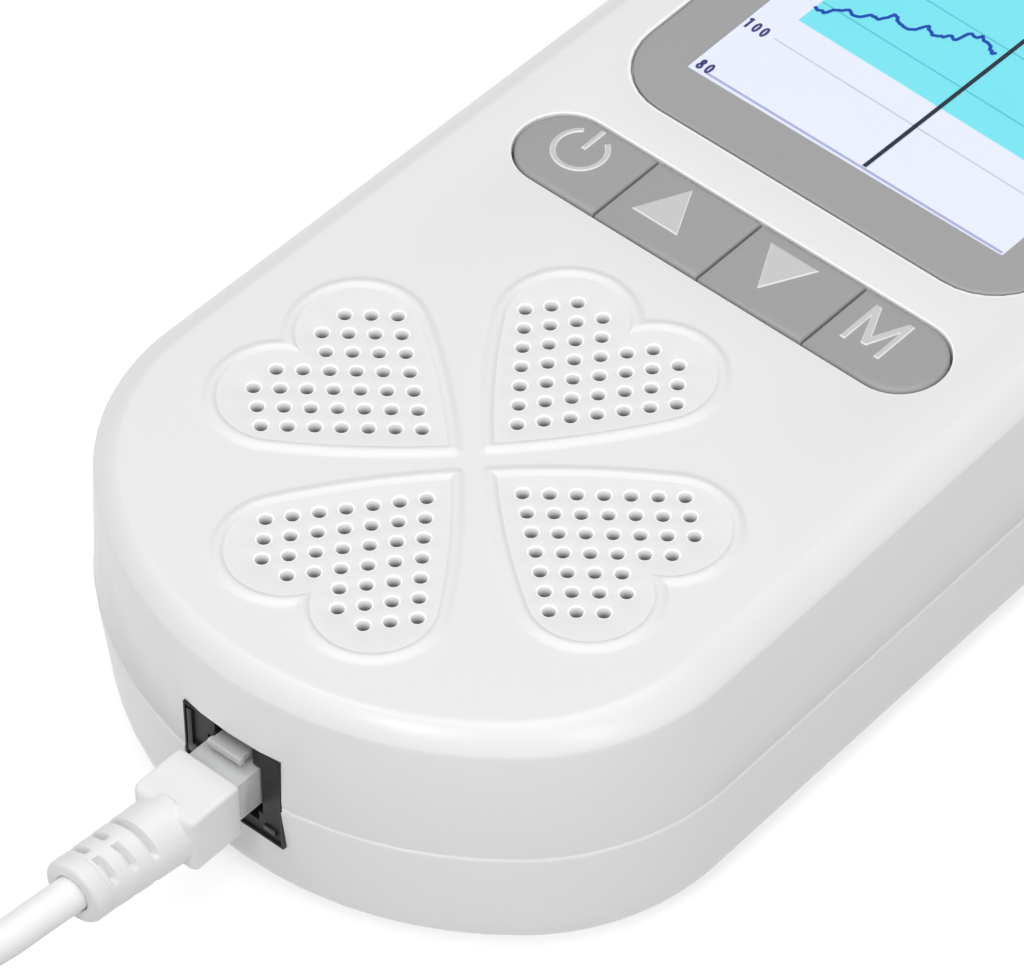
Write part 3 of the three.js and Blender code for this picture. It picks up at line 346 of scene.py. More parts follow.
class Form:
    """A mesh in the making, from rings of points joined to each other."""

    def __init__(self):
        self.points = []
        self.faces = []
        self.slots = []
        self.slot = 0

    def ring(self, points):
        start = len(self.points)
        self.points += [tuple(point) for point in points]
        return list(range(start, start + len(points)))

    def face(self, *corners):
        self.faces.append(corners)
        self.slots.append(self.slot)

    def bridge(self, low, high):
        count = len(low)
        for k in range(count):
            after = (k + 1) % count
            self.face(low[k], low[after], high[after], high[k])

    def tower(self, rings):
        """Rings of points, each joined to the next; gives the first and the last."""
        made = [self.ring(points) for points in rings]
        for low, high in zip(made, made[1:]):
            self.bridge(low, high)
        return made[0], made[-1]

    def stack(self, shape, levels):
        """A tower of one outline, drawn in by an inset at each height."""
        return self.tower([at(shape(inset), z) for inset, z in levels])

    def cap(self, ring, down=False):
        self.face(*(reversed(ring) if down else ring))

    def solid(self, rings):
        """A closed tower."""
        low, high = self.tower(rings)
        self.cap(low, down=True)
        self.cap(high)

    def fill(self, border, holes, down=False):
        """Triangles between a level ring and the rings inside it."""
        members, owners, edges = [], [], []
        rings = [border, *holes]
        for number, ring in enumerate(rings):
            start, count = len(members), len(ring)
            members += ring
            owners += [number] * count
            edges += [(start + k, start + (k + 1) % count) for k in range(count)]
        flat = [Vector(self.points[index][:2]) for index in members]
        points, _, faces, origin, *_ = delaunay_2d_cdt(flat, edges, [], 0, 1e-6)
        if len(points) != len(members):
            raise ValueError(f"rings cross in a filled face: {len(points)} against {len(members)}")
        for face in faces:
            corners = [origin[corner][0] for corner in face]
            numbers = {owners[corner] for corner in corners}
            if len(numbers) == 1:
                # Between points of one ring, it may lie beyond the border or in a hole
                number = numbers.pop()
                middle = sum((points[corner] for corner in face), Vector((0, 0))) / 3
                within = inside(middle, [self.points[index] for index in rings[number]])
                if within != (number == 0):
                    continue
            corners = [members[corner] for corner in corners]
            self.face(*(reversed(corners) if down else corners))

    def make(self, name, materials, sharp=32):
        mesh = bpy.data.meshes.new(name)
        mesh.from_pydata([[part * MM for part in point] for point in self.points], [], self.faces)
        for material in materials if isinstance(materials, list) else [materials]:
            mesh.materials.append(material)
        mesh.polygons.foreach_set("material_index", self.slots)
        work = bmesh.new()
        work.from_mesh(mesh)
        bmesh.ops.recalc_face_normals(work, faces=work.faces)
        work.to_mesh(mesh)
        work.free()
        item = bpy.data.objects.new(name, mesh)
        bpy.context.scene.collection.objects.link(item)
        smooth(item, sharp)
        return item


def smooth(item, sharp=32):
    item.data.polygons.foreach_set("use_smooth", [True] * len(item.data.polygons))
    item.data.set_sharp_from_angle(angle=math.radians(sharp))


def settle(item, body, slot, *nodes):
    """The piece rides on its body and stands for its CAD nodes; its slot is not used."""
    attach(item, body)
    if nodes:
        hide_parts(*nodes)


def apply_modifiers(item):
    depsgraph = bpy.context.evaluated_depsgraph_get()
    mesh = bpy.data.meshes.new_from_object(item.evaluated_get(depsgraph))
    item.modifiers.clear()
    item.data = mesh


def combine(item, operation, cutters):
    """A boolean with several closed cutters, which are removed afterwards."""
    group = bpy.data.collections.new("cutters")
    bpy.context.scene.collection.children.link(group)
    for cutter in cutters:
        for owner in list(cutter.users_collection):
            owner.objects.unlink(cutter)
        group.objects.link(cutter)
    modifier = item.modifiers.new("cut", "BOOLEAN")
    modifier.operation = operation
    modifier.operand_type = "COLLECTION"
    modifier.collection = group
    modifier.solver = "EXACT"
    apply_modifiers(item)
    for cutter in cutters:
        bpy.data.objects.remove(cutter)
    bpy.data.collections.remove(group)


def arc(centre_x, centre_y, radius, start, end, steps):
    return [
        (centre_x + radius * math.cos(start + (end - start) * k / steps),
         centre_y + radius * math.sin(start + (end - start) * k / steps))
        for k in range(steps + 1)
    ]


def at(shape, z):
    return [(x, y, z) for x, y in shape]


def corners(x0, x1, y0, y1):
    return [(x0, y0), (x1, y0), (x1, y1), (x0, y1)]


def rectangle(half_width, low, high, radius, inset=0.0, steps=8):
    """A rounded rectangle, drawn in by an inset."""
    radius = max(radius - inset, 0.02)
    margin = inset + radius
    right, bottom, top = half_width - margin, low + margin, high - margin
    made = []
    for k, (x, y) in enumerate(((right, bottom), (right, top), (-right, top), (-right, bottom))):
        made += arc(x, y, radius, (k - 1) * QUARTER, k * QUARTER, steps)
    return made


def pill(inset=0.0, steps=20):
    radius = PILL_RADIUS - inset
    return (
        arc(PILL_REACH, PILL_Y, radius, -QUARTER, QUARTER, steps)
        + arc(-PILL_REACH, PILL_Y, radius, QUARTER, 3 * QUARTER, steps)
    )


def outline(inset=0.0, corner_steps=26, end_steps=8):
    """The housing's outline: in each quarter a corner arc and a shallow end arc."""
    radius, end = CORNER_RADIUS - inset, END_RADIUS - inset
    end_y = HALF_LENGTH - END_RADIUS
    flat = END_RADIUS - CORNER_RADIUS
    near_x, far_x = CORNER_X, CORNER_X - FAR_NARROWING
    near_y, far_y = (end_y + math.sqrt(flat ** 2 - x ** 2) for x in (near_x, far_x))
    lean = math.atan2(FAR_NARROWING, near_y + far_y)

    def quarter(x, y, start):
        turn = math.atan2(y - end_y, x)
        shallow = arc(0, end_y, end, turn, QUARTER, end_steps)
        return arc(x, y, radius, start, turn, corner_steps) + shallow[1:-1]

    near, far = quarter(near_x, near_y, -lean), quarter(far_x, far_y, lean)
    tip = HALF_LENGTH - inset
    return (
        far + [(0.0, tip)] + [(-x, y) for x, y in reversed(far)]
        + [(-x, -y) for x, y in near] + [(0.0, -tip)] + [(x, -y) for x, y in reversed(near)]
    )


def face_outline(inset):
    """The outline towards the face, where the chamfer is narrower at the two ends."""
    stretch = 1 + 0.021 * min(max(inset - 0.9, 0) / 3.7, 1)
    return [(x, y * stretch) for x, y in outline(inset)]


def round_ring(x, y, radius, sides):
    return [
        (x + radius * math.cos(TAU * k / sides), y + radius * math.sin(TAU * k / sides))
        for k in range(sides)
    ]


def curve_points(controls, steps):
    """Points of a cubic Bezier curve in the plane, its first left out."""
    p0, p1, p2, p3 = (Vector(point) for point in controls)
    made = []
    for k in range(1, steps + 1):
        t = k / steps
        made.append(tuple(
            (1 - t) ** 3 * p0 + 3 * (1 - t) ** 2 * t * p1 + 3 * (1 - t) * t * t * p2 + t ** 3 * p3
        ))
    return made


def prism(shape, z0, z1, name="cutter"):
    form = Form()
    form.solid([at(shape, z0), at(shape, z1)])
    return form.make(name, WHITE)


def block(x0, x1, y0, y1, z0, z1, name="cutter"):
    return prism(corners(x0, x1, y0, y1), z0, z1, name)


def post(x, y, radius, z0, z1):
    return prism(round_ring(x, y, radius, 32), z0, z1)


# Lead: the free stretch, the coil and the tail to the probe, as one cord

RUN = [
    (-1.6, -107.6, 18.45), (-2.5, -111.6, 17.7), (-4.2, -116.8, 16), (-8, -122.6, 13.3),
    (-14, -129, 9.7), (-19.2, -136, 6.2), (-21.4, -143, 3.8), (-20.7, -149, 3.2), (-20.2, -153.1, 3.2),
]
TAIL = [
    (-20.2, -162.9, 8.4), (-20.2, -169, 8.3), (-20.2, -176, 8.4), (-20.2, -184, 9), (-20.2, -192, 10.2),
    (-20.2, -199.7, 11.4), (-20.2, -206, 11.86), (-20.2, -216, 12.58),
]
CORD_START = (-1.44, -106.1, 18.52)
CORD_END = (-20.2, -226, 13.3)


def coil_points(steps_per_turn=20):
    middle = COIL_TURNS / 2
    made = []
    for k in range(COIL_TURNS * steps_per_turn + 1):
        turns = k / steps_per_turn
        radius = COIL_RADIUS - COIL_PITCH * (middle - abs(turns - middle))
        share = min(max((turns - middle) * 2 + 0.5, 0), 1)
        climb = share * share * (3 - 2 * share)
        angle = math.pi + TAU * turns
        made.append((
            COIL_CENTRE[0] + radius * math.cos(angle),
            COIL_CENTRE[1] + radius * math.sin(angle),
            COIL_LAYERS[0] + (COIL_LAYERS[1] - COIL_LAYERS[0]) * climb,
        ))
    return made


def make_cord():
    points = [CORD_START, *RUN[:-1], *coil_points(), *TAIL[1:], CORD_END]
    data = bpy.data.curves.new("lead_cable", "CURVE")
    data.dimensions = "3D"
    data.bevel_depth = CABLE_DIAMETER / 2 * MM
    data.bevel_resolution = 6
    data.resolution_u = 5
    data.use_fill_caps = True
    spline = data.splines.new("BEZIER")
    spline.bezier_points.add(len(points) - 1)
    for knot, point in zip(spline.bezier_points, points):
        knot.co = Vector(point) * MM
        knot.handle_left_type = knot.handle_right_type = "AUTO"
    data.materials.append(CABLE)
    item = bpy.data.objects.new("lead_cable", data)
    bpy.context.scene.collection.objects.link(item)
    length = sum((Vector(after) - Vector(before)).length for before, after in zip(points, points[1:]))
    return item, length * MM


cable, cable_length = make_cord()
settle(cable, "lead", "cable_white", "cord_run", "cord_coil", "cord_tail")


# Front shell

BEAD = [(-0.45, 0.0), (-0.3, 0.0), (0.0, 0.05), (0.25, 0.17), (0.5, 0.3), (0.8, 0.38), (1.1, 0.36),
        (1.32, 0.25), (1.5, 0.1), (1.62, 0.0), (1.75, 0.0)]
HEART_TIP = 1.5
LOBE = (6.7, 24, 8.9)


def heart(inset, steps=24):
    """A heart: its sides bulge, start parallel to the channels and run into the lobes."""
    lobe_x, lobe_y, lobe_radius = LOBE
    half_root = math.sqrt(0.5)
    rise = lobe_y - HEART_TIP
    side = (lobe_radius ** 2 - lobe_x ** 2 - rise ** 2) / (
        2 * (half_root * lobe_x - half_root * rise + lobe_radius)
    )
    centre_x, centre_y = -side * half_root, HEART_TIP + side * half_root
    start = -math.acos(-centre_x / (side - inset))
    tangent = math.atan2(lobe_y - centre_y, lobe_x - centre_x)
    tip_y = centre_y + (side - inset) * math.sin(start)
    blend = max(1.0 - inset, 0.1)
    radius = lobe_radius - inset
    notch = math.acos(lobe_x / radius)
    half = arc(0, tip_y + blend / half_root, blend, -QUARTER, -QUARTER / 2, 4)
    half += arc(centre_x, centre_y, side - inset, start + blend / side, tangent, 12)[1:]
    half += arc(lobe_x, lobe_y, radius, tangent, math.pi - notch, steps)[1:]
    return half + [(-x, y) for x, y in reversed(half[1:-1])]


def heart_holes():
    lean = math.radians(39)
    along, across = 3.1 * math.cos(lean), 3.1 * math.sin(lean)
    places = []
    for i in range(7):
        for j in range(7):
            if min(i, j) <= (2 if max(i, j) > 5 else 3):
                places.append(((j - i) * across, 7.75 + (i + j) * along))
    return places


def clover(points, quarter):
    """Points of one heart, turned to its quarter of the clover."""
    for _ in range(quarter):
        points = [(-y, x) for x, y in points]
    return [(x, y + CLOVER_Y) for x, y in points]


def front_shell():
    form = Form()
    band = curve_points([(0.95, 34.78), (1.85, 35.8), (2.95, 36.75), (4.3, 37.3)], 8)
    profile = [(0.3, 18.46), (0.2, 18.48), (0.15, 18.58), (0.78, 33.9), (0.81, 34.35), (0.86, 34.6),
               (0.95, 34.78), *band, (4.5, 37.38), (4.7, 37.45), (4.95, 37.49), (5.25, 37.5),
               (5.5, 37.5)]
    bottom, face_edge = form.stack(face_outline, profile)
    inner = [(WALL, 18.46), (WALL + FRONT_DRAFT, 33.4), (4.0, 34.4), (5.4, 35.1)]
    inner_low, inner_high = form.stack(outline, inner)
    form.bridge(bottom, inner_low)

    rims, grounds = [], []
    for quarter in range(4):
        for x, y in heart_holes():
            (hole_x, hole_y), = clover([(x, y)], quarter)
            rings = [(HOLE_RADIUS + 0.2, 37.5), (HOLE_RADIUS + 0.08, 37.47), (HOLE_RADIUS, 37.36),
                     (HOLE_RADIUS, UNDER_FACE_Z)]
            # The hole walls take the grille material, with its painted shade and glow.
            form.slot = 1
            top, low = form.tower([at(round_ring(hole_x, hole_y, r, 20), z) for r, z in rings])
            form.slot = 0
            rims.append(top)
            grounds.append(low)
    beads = [
        [form.ring(at(clover(heart(inset), quarter), FACE_Z + rise)) for inset, rise in BEAD]
        for quarter in range(4)
    ]
    pill_rings = [(-0.26, 37.5), (-0.14, 37.48), (-0.04, 37.4), (0.0, 37.26), (0.0, UNDER_FACE_Z)]
    # The rounded edges and walls of the key opening and the window are painted brighter white as a
    # highlight.
    form.slot = 2
    pill_top, pill_low = form.stack(pill, pill_rings)
    window_rings = [(-0.4, 37.5), (-0.16, 37.49), (-0.05, 37.46), (0.0, 37.4), (0.0, WINDOW_FLOOR)]
    window_top, window_floor = form.stack(lambda inset: rectangle(*WINDOW, inset), window_rings)
    form.slot = 0
    opening = rectangle(*APERTURE, steps=3)
    aperture_top, aperture_low = form.tower([at(opening, z) for z in (WINDOW_FLOOR, UNDER_FACE_Z)])
    form.fill(window_floor, [aperture_top])
    # The face outside the beads, then each bead and the ground inside it
    for levels in beads:
        for low, high in zip(levels, levels[1:]):
            form.bridge(low, high)
    per_heart = len(heart_holes())
    outer = [levels[0] for levels in beads]
    form.fill(face_edge, [*outer, pill_top, window_top])
    for quarter, levels in enumerate(beads):
        form.fill(levels[-1], rims[quarter * per_heart:(quarter + 1) * per_heart])
    form.fill(inner_high, [*grounds, pill_low, aperture_low], down=True)
    return form


def socket_cutters():
    notch = block(7.3, 8.3, -84, -82.2, 17.6, 19.2)
    opening = block(-7.5, 7.5, -84, -78.8, 11.0, 25.8)
    return [opening, notch]


shell = front_shell().make("front_cover", [WHITE, GRILLE_PAINTED_SHADE, WHITE_PAINTED_HIGHLIGHT])
combine(shell, "DIFFERENCE", socket_cutters())
smooth(shell)
settle(shell, "housing", "housing_white", "front_shell")


def parting_tongue():
    """The rear cover's lip, which fills the joint between the shells."""
    form = Form()
    low, high = form.stack(outline, ((0.24, 18.1), (0.24, 18.6)))
    inner_low, inner_high = form.stack(outline, ((1.6, 18.1), (1.6, 18.6)))
    form.bridge(low, inner_low)
    form.bridge(high, inner_high)
    item = form.make("joint_lip", WHITE_EDGE)
    combine(item, "DIFFERENCE", socket_cutters())
    smooth(item)
    settle(item, "housing", "housing_white")


parting_tongue()


# Rear cover

def rear_cover():
    def side(inset, floor, steps):
        radius = 6.6 - floor
        angles = [QUARTER * k / steps for k in range(steps + 1)]
        return [
            (inset + 1.1 + radius * (1 - math.sin(angle)), floor + radius * (1 - math.cos(angle)))
            for angle in angles
        ]

    form = Form()
    outer = [*side(0, 0, 12), (0.0, 17.75), (0.02, 17.92), (0.08, 18.08), (0.18, 18.2), (0.34, 18.27)]
    low, high = form.stack(outline, outer)
    inner_low, inner_high = form.stack(outline, [*side(WALL, WALL, 5), (WALL, 18.27)])
    form.bridge(high, inner_high)
    form.cap(low, down=True)
    form.cap(inner_low)
    item = form.make("rear_case", WHITE_REAR)
    screws = [(side_x * x, y) for side_x in (1, -1) for x, y in ((20, 68), (32, -50))]
    added = [post(x, y, 4.8, 1.2, 18.26) for x, y in screws]
    added += [
        block(-23.9, 23.9, -62.6, -3.6, 1.2, 18.7), block(-26.8, 26.8, -70.1, -2.1, 1.2, 4.0),
        block(-5, 5, -77, -72, 1.2, 11.0),
    ]
    combine(item, "UNION", added)
    removed = [block(-22.5, 22.5, -61.2, -5, -1, 17.3)]
    removed.append(prism(rectangle(24.0, -68.7, -3.5, 3.3), -1, 2.6))
    for y in HOOK_ROWS:
        removed.append(block(-25.4, 25.4, y - 6.3, y + 5.3, 1.1, 2.6))
        removed.append(block(-25.4, 25.4, y - 6.3, y - 0.7, -1, 2.6))
    combine(item, "DIFFERENCE", removed)
    drills = [post(x, y, 3.0, -1, 8) for x, y in screws] + [post(x, y, 1.7, 7, 19) for x, y in screws]
    combine(item, "DIFFERENCE", drills + socket_cutters())
    smooth(item)
    settle(item, "housing", "housing_white", "rear_cover")


rear_cover()


# Keys and their legends

def key_outline(index, inset, cut_inset):
    """The part of the pill between two dividers, drawn in by an inset."""
    x0 = -PILL_HALF + index * KEY_PITCH + 0.12 + cut_inset
    x1 = -PILL_HALF + (index + 1) * KEY_PITCH - 0.12 - cut_inset
    radius = PILL_RADIUS - inset
    if index == 3:
        right = arc(PILL_REACH, PILL_Y, radius, -QUARTER, QUARTER, 24)
    else:
        right = [(x1, PILL_Y - radius + 2 * radius * k / 24) for k in range(25)]
    if index == 0:
        left = arc(-PILL_REACH, PILL_Y, radius, QUARTER, 3 * QUARTER, 24)
    else:
        left = [(x0, PILL_Y + radius - 2 * radius * k / 24) for k in range(25)]
    return right + left


def key_cap(index, name):
    form = Form()
    rings = [(-1.0, 33.8), (-1.0, 34.8), (0.3, 34.8), (0.3, 37.05), (0.34, 37.25), (0.46, 37.43),
             (0.65, 37.54), (0.95, 37.59), (1.3, 37.6)]
    cuts = [0.0, 0.0, 0.0, 0.0, 0.02, 0.08, 0.18, 0.34, 0.6]
    form.solid([at(key_outline(index, inset, cut), z) for (inset, z), cut in zip(rings, cuts)])
    item = form.make(f"cap_{name}", KEY_GREY)
    x = -PILL_HALF + (index + 0.5) * KEY_PITCH
    combine(item, "UNION", [post(x, PILL_Y, 1.5, 32.4, 34.2)])
    smooth(item)
    settle(item, f"key_{name}", "key_grey", f"key_{name}")


def raised(name, key, shapes):
    """A legend raised a little from its key, its bevelled rim painted brighter than its top as a
    highlight.
    """
    form = Form()
    for shape in shapes:
        # The bevel takes the brighter paint, a painted highlight.
        form.slot = 1
        inner = inset_polygon(shape, 0.14)
        low = form.ring(at(shape, KEY_TOP - 0.15))
        edge = form.ring(at(shape, KEY_TOP + 0.05))
        rim = form.ring(at(inner, KEY_TOP + 0.16))
        form.bridge(low, edge)
        form.bridge(edge, rim)
        form.slot = 0
        form.cap(rim)
        form.cap(low, down=True)
    item = form.make(name, [LEGEND, LEGEND_PAINTED_HIGHLIGHT], 20)
    settle(item, f"key_{key}", "key_grey")


def inset_polygon(shape, inset):
    """A polygon drawn in by an inset, its corners mitred."""
    points = [Vector(point) for point in shape]
    made = []
    for before, here, after in zip([points[-1], *points[:-1]], points, [*points[1:], points[0]]):
        first = (here - before).normalized()
        second = (after - here).normalized()
        normal_a = Vector((-first.y, first.x))
        normal_b = Vector((-second.y, second.x))
        mitre = (normal_a + normal_b).normalized()
        reach = inset / max(mitre.dot(normal_a), 0.35)
        made.append(tuple(here + mitre * reach))
    return made


def stroke(points, width):
    """A line of even width with square ends, as one polygon."""
    path = [Vector(point) for point in points]
    left, right = [], []
    for k, here in enumerate(path):
        before, after = path[max(k - 1, 0)], path[min(k + 1, len(path) - 1)]
        along = (after - before).normalized()
        across = Vector((-along.y, along.x))
        scale = width / 2
        if 0 < k < len(path) - 1:
            turn = (here - before).normalized()
            scale /= max(abs(across.dot(Vector((-turn.y, turn.x)))), 0.4)
        left.append(tuple(here + across * scale))
        right.append(tuple(here - across * scale))
    return right + left[::-1]


def letter_m(x0, x1, y0, y1, width):
    """An M of thin strokes whose middle reaches most of the way down."""
    middle, dip = (x0 + x1) / 2, y0 + 0.75
    lean = width * 1.12
    crook = 1.85 * width
    return [
        (x0, y0), (x0 + width, y0), (x0 + width, y1 - crook * 1.35), (middle - lean * 0.45, dip),
        (middle + lean * 0.45, dip), (x1 - width, y1 - crook * 1.35), (x1 - width, y0), (x1, y0),
        (x1, y1), (x1 - lean, y1), (middle, dip + crook * 1.15), (x0 + lean, y1), (x0, y1),
    ]


POWER = (-24.4, 5.2)
for number, key in enumerate(("power", "up", "down", "menu")):
    key_cap(number, key)
gap = math.radians(34)
ring_path = arc(*POWER, 3.3, QUARTER + gap, QUARTER + TAU - gap, 40)
raised("legend_power", "power", [
    stroke(ring_path, 0.72), stroke([(POWER[0] + 0.15, 5.5), (POWER[0] + 0.15, 9.3)], 0.68),
])
raised("legend_up", "up", [[(-13.35, 1.8), (-6.25, 1.8), (-9.8, 8.7)]])
raised("legend_down", "down", [[(2.85, 8.15), (6.55, 1.35), (10.25, 8.15)]])
raised("legend_menu", "menu", [letter_m(18.8, 24.7, 1.75, 8.45, 0.78)])


# Window surround, glass and the lit picture

def window_surround():
    form = Form()
    outer = [(FIT, WINDOW_FLOOR), (FIT, 37.32), (FIT + 0.03, 37.37), (FIT + 0.1, 37.4),
             (FIT + 0.6, 37.4)]
    outer_low, outer_high = form.stack(lambda inset: rectangle(*WINDOW, inset), outer)
    inner = [(0.0, WINDOW_FLOOR), (0.0, 37.32), (-0.08, 37.4)]
    inner_low, inner_high = form.stack(lambda inset: rectangle(*SCREEN, 0.3, inset, 3), inner)
    form.fill(outer_high, [inner_high])
    form.fill(outer_low, [inner_low], down=True)
    item = form.make("window_surround", WINDOW_GREY)
    settle(item, "housing", "window_grey", "window_frame")


def window_pane():
    form = Form()
    rings = [(0.15, 37.26), (0.12, 37.3), (0.12, 37.34), (0.2, 37.38)]
    form.solid([at(rectangle(*SCREEN, 0.3, inset, 3), z) for inset, z in rings])
    item = form.make("window_pane", GLASS)
    settle(item, "housing", "window_clear", "window_glass")


window_surround()
window_pane()


def level(value):
    """The height on the picture of a heart rate on its scale."""
    return 25.9 + (value - 80) * 0.4325


PICTURE_ASKEW = 0.023
PICTURE_MIDDLE = 43
PLATE = 0.012


class Picture(Form):
    """Thin plates of the lit picture, each a little above the one before, set slightly askew."""

    LAYERS = [BAND, GRID, LABELS, TRACE, MARK, STRIP, GROUND, GRID_BAND]

    def plate(self, shape, material, rise, thickness=PLATE, askew=PICTURE_ASKEW):
        self.slot = self.LAYERS.index(material)
        shape = [(x + askew * (y - PICTURE_MIDDLE), y - askew * x) for x, y in shape]
        self.solid([at(shape, PICTURE_Z + rise), at(shape, PICTURE_Z + rise + thickness)])

    def bar(self, x0, x1, y0, y1, material, rise):
        self.plate(corners(x0, x1, y0, y1), material, rise)

    def oval(self, x, y, half_width, half_height, weight, material, rise):
        """A closed oval line."""
        self.slot = self.LAYERS.index(material)
        x, y = x + PICTURE_ASKEW * (y - PICTURE_MIDDLE), y - PICTURE_ASKEW * x

        def wall(grow):
            line = [
                (x + (half_width + grow) * across, y + (half_height + grow) * up)
                for across, up in round_ring(0, 0, 1, 28)
            ]
            return self.tower([at(line, PICTURE_Z + rise), at(line, PICTURE_Z + rise + PLATE)])

        (out_low, out_high), (in_low, in_high) = wall(0), wall(-weight)
        self.bridge(out_high, in_high)
        self.bridge(in_low, out_low)


# Digits in shares of their width and height: ovals, then the lines and their rise above them
OVALS = {
    "0": [(0.5, 0.5, 0.5, 0.5)],
    "6": [(0.5, 0.3, 0.5, 0.3)],
    "8": [(0.5, 0.73, 0.42, 0.27), (0.5, 0.27, 0.5, 0.29)],
}


def number(picture, text, x, y, height, weight, rise):
    """Plain rounded digits drawn by ovals, strokes and bars."""
    width = height * 0.5

    def line(points, lift):
        path = [(x + width * across, y + height * up) for across, up in points]
        picture.plate(stroke(path, weight), LABELS, rise + lift)

    for digit in text:
        for across, up, half_width, half_height in OVALS.get(digit, []):
            picture.oval(
                x + width * across, y + height * up, width * half_width, height * half_height,
                weight, LABELS, rise,
            )
        if digit == "6":
            line([(0.85, 0.95), (0.4, 0.85), (0.1, 0.55), (0.02 / width, 0.3)], 0.001)
        elif digit == "1":
            line([(0.55, 1), (0.55, 0)], 0)
            line([(0.15, 0.8), (0.55, 1)], 0.001)
        elif digit == "2":
            path = arc(x + width / 2, y + height * 0.72, width * 0.45, math.pi * 0.95, -0.5, 10)
            path.append((x + width * 0.05, y + weight / 2))
            picture.plate(stroke(path, weight), LABELS, rise)
            picture.bar(x, x + width, y, y + weight, LABELS, rise + 0.001)
        elif digit == "4":
            post_x, bar_y = x + width * 0.65, y + height * 0.28
            picture.bar(post_x, post_x + weight, y, y + height, LABELS, rise)
            picture.bar(x, x + width, bar_y, bar_y + weight, LABELS, rise + 0.001)
            line([(0.66, 1), (weight / 2 / width, 0.32)], 0.002)
        x += width + weight


TRACE_TURNS = [
    (-19.6, 117), (-17.9, 118), (-16.5, 122.2), (-14.4, 122.4), (-13.9, 124.7), (-12.5, 125),
    (-11.6, 129), (-9.2, 126.8), (-7.2, 131.8), (-5.6, 130.6), (-3.2, 134.5), (-2.5, 138.3),
    (-1.0, 138.8), (2.1, 135.7),
]


def trace_points():
    """A heart rate that wanders up to the marker, with small flutter between its turns."""
    made = []
    for (x0, low), (x1, high) in zip(TRACE_TURNS, TRACE_TURNS[1:]):
        steps = max(round((x1 - x0) / 0.3), 2)
        for k in range(steps):
            x = x0 + (x1 - x0) * k / steps
            flutter = 1.2 * noise.noise((x * 1.3, 3.1, 0)) + 1.5 * noise.noise((x * 2.3, 7.7, 0))
            made.append((x, level(low + (high - low) * k / steps + flutter)))
    return made


def lit_picture():
    picture = Picture()
    half, low, high = SCREEN
    picture.plate(corners(-half, half, low, high), GROUND, 0.0, 0.02, 0.0)
    strip = corners(-half + 2.5, half - 0.3, low + 0.5, low + 0.85)
    picture.plate(strip, STRIP, 0.024, 0.008, 0.006)
    left, right, top = -19.6, 23.6, 60.0
    picture.bar(left, right, level(110), top, BAND, 0.024)
    for value in (100, 120, 140):
        line = GRID if value == 100 else GRID_BAND
        picture.bar(left, right, level(value) - 0.12, level(value) + 0.12, line, 0.038)
    for text, value in (("80", 79), ("100", 100), ("120", 120), ("140", 140), ("160", 157.5)):
        number(picture, text, -24.1 if len(text) == 3 else -23.5, level(value) - 0.9, 1.8, 0.36, 0.05)
    number(picture, "124", 9.0, 53.2, 5.2, 0.72, 0.06)
    points = trace_points()
    for k, (start, end) in enumerate(zip(points, points[1:])):
        along = (Vector(end) - Vector(start)).normalized() * 0.1
        ends = [tuple(Vector(start) - along), tuple(Vector(end) + along)]
        picture.plate(stroke(ends, 0.46), TRACE, 0.07 + 0.001 * (k % 2))
    picture.bar(2.66, 3.24, low + 1.0, top, MARK, 0.084)
    item = picture.make("screen_picture", Picture.LAYERS, 40)
    settle(item, "housing", "screen")


lit_picture()


# Socket, plug, latch and moulded boot

def soften(item, width):
    """Rounded edges on a piece made of flat faces."""
    modifier = item.modifiers.new("edges", "BEVEL")
    modifier.width = width * MM
    modifier.segments = 2
    modifier.limit_method = "ANGLE"
    modifier.angle_limit = math.radians(40)
    apply_modifiers(item)
    smooth(item)


def painted(item, material):
    item.data.materials.clear()
    item.data.materials.append(material)
    return item


def carved(name, box, edge, added=(), removed=()):
    """A box with others joined to it and cut from it, its edges rounded."""
    item = block(*box, name)
    for operation, boxes in (("UNION", added), ("DIFFERENCE", removed)):
        if boxes:
            combine(item, operation, [block(*sides) for sides in boxes])
    soften(item, edge)
    return item


def socket():
    """The dark insert, and the locating ribs and lip inside it beside the plug."""
    insert = carved(
        "socket_insert", (-7.46, 7.46, -82.3, -79.4, 11.04, 25.76), 0.1,
        added=[(-7.2, 7.2, -79.6, -66.5, 11.3, 27.36)],
        removed=[
            (-7.16, 7.16, -84, -81.9, 11.4, 25.45), (-4.1, 4.1, -84, -70, 14.5, 22.2),
            (-2.9, 2.9, -84, -70, 21.9, 25.0), (-3.4, 3.4, -84, -75.5, 13.0, 15.0),
        ],
    )
    settle(painted(insert, JACK_BLACK), "housing", "black_plastic", "jack_housing")
    ribs = carved(
        "socket_ribs", (-6.9, -4.7, -82.35, -81.8, 17.9, 19.4), 0.14,
        added=[(4.4, 6.2, -82.2, -81.8, 12.4, 13.2), (-6.9, -6.2, -82.3, -81.8, 18.8, 24.9)],
    )
    settle(painted(ribs, BLACK), "housing", "black_plastic")


def plug():
    """The clear shell, slotted for its contacts, and the lead's flat core seen through it."""
    slots = [(-3.1 + 1.25 * k, -2.45 + 1.25 * k, -78, -70.5, 15.4, 17.4) for k in range(1, 5)]
    body = carved("plug_shell", (-3.8, 3.8, -85.6, -71, 15.9, 21.9), 0.16, removed=slots)
    settle(painted(body, PLUG), "lead", "plug_clear", "plug_body")
    core = carved("plug_wires", (-2.6, 2.6, -85.4, -78.6, 17.6, 19.6), 0.5)
    settle(painted(core, CABLE), "lead", "cable_white")


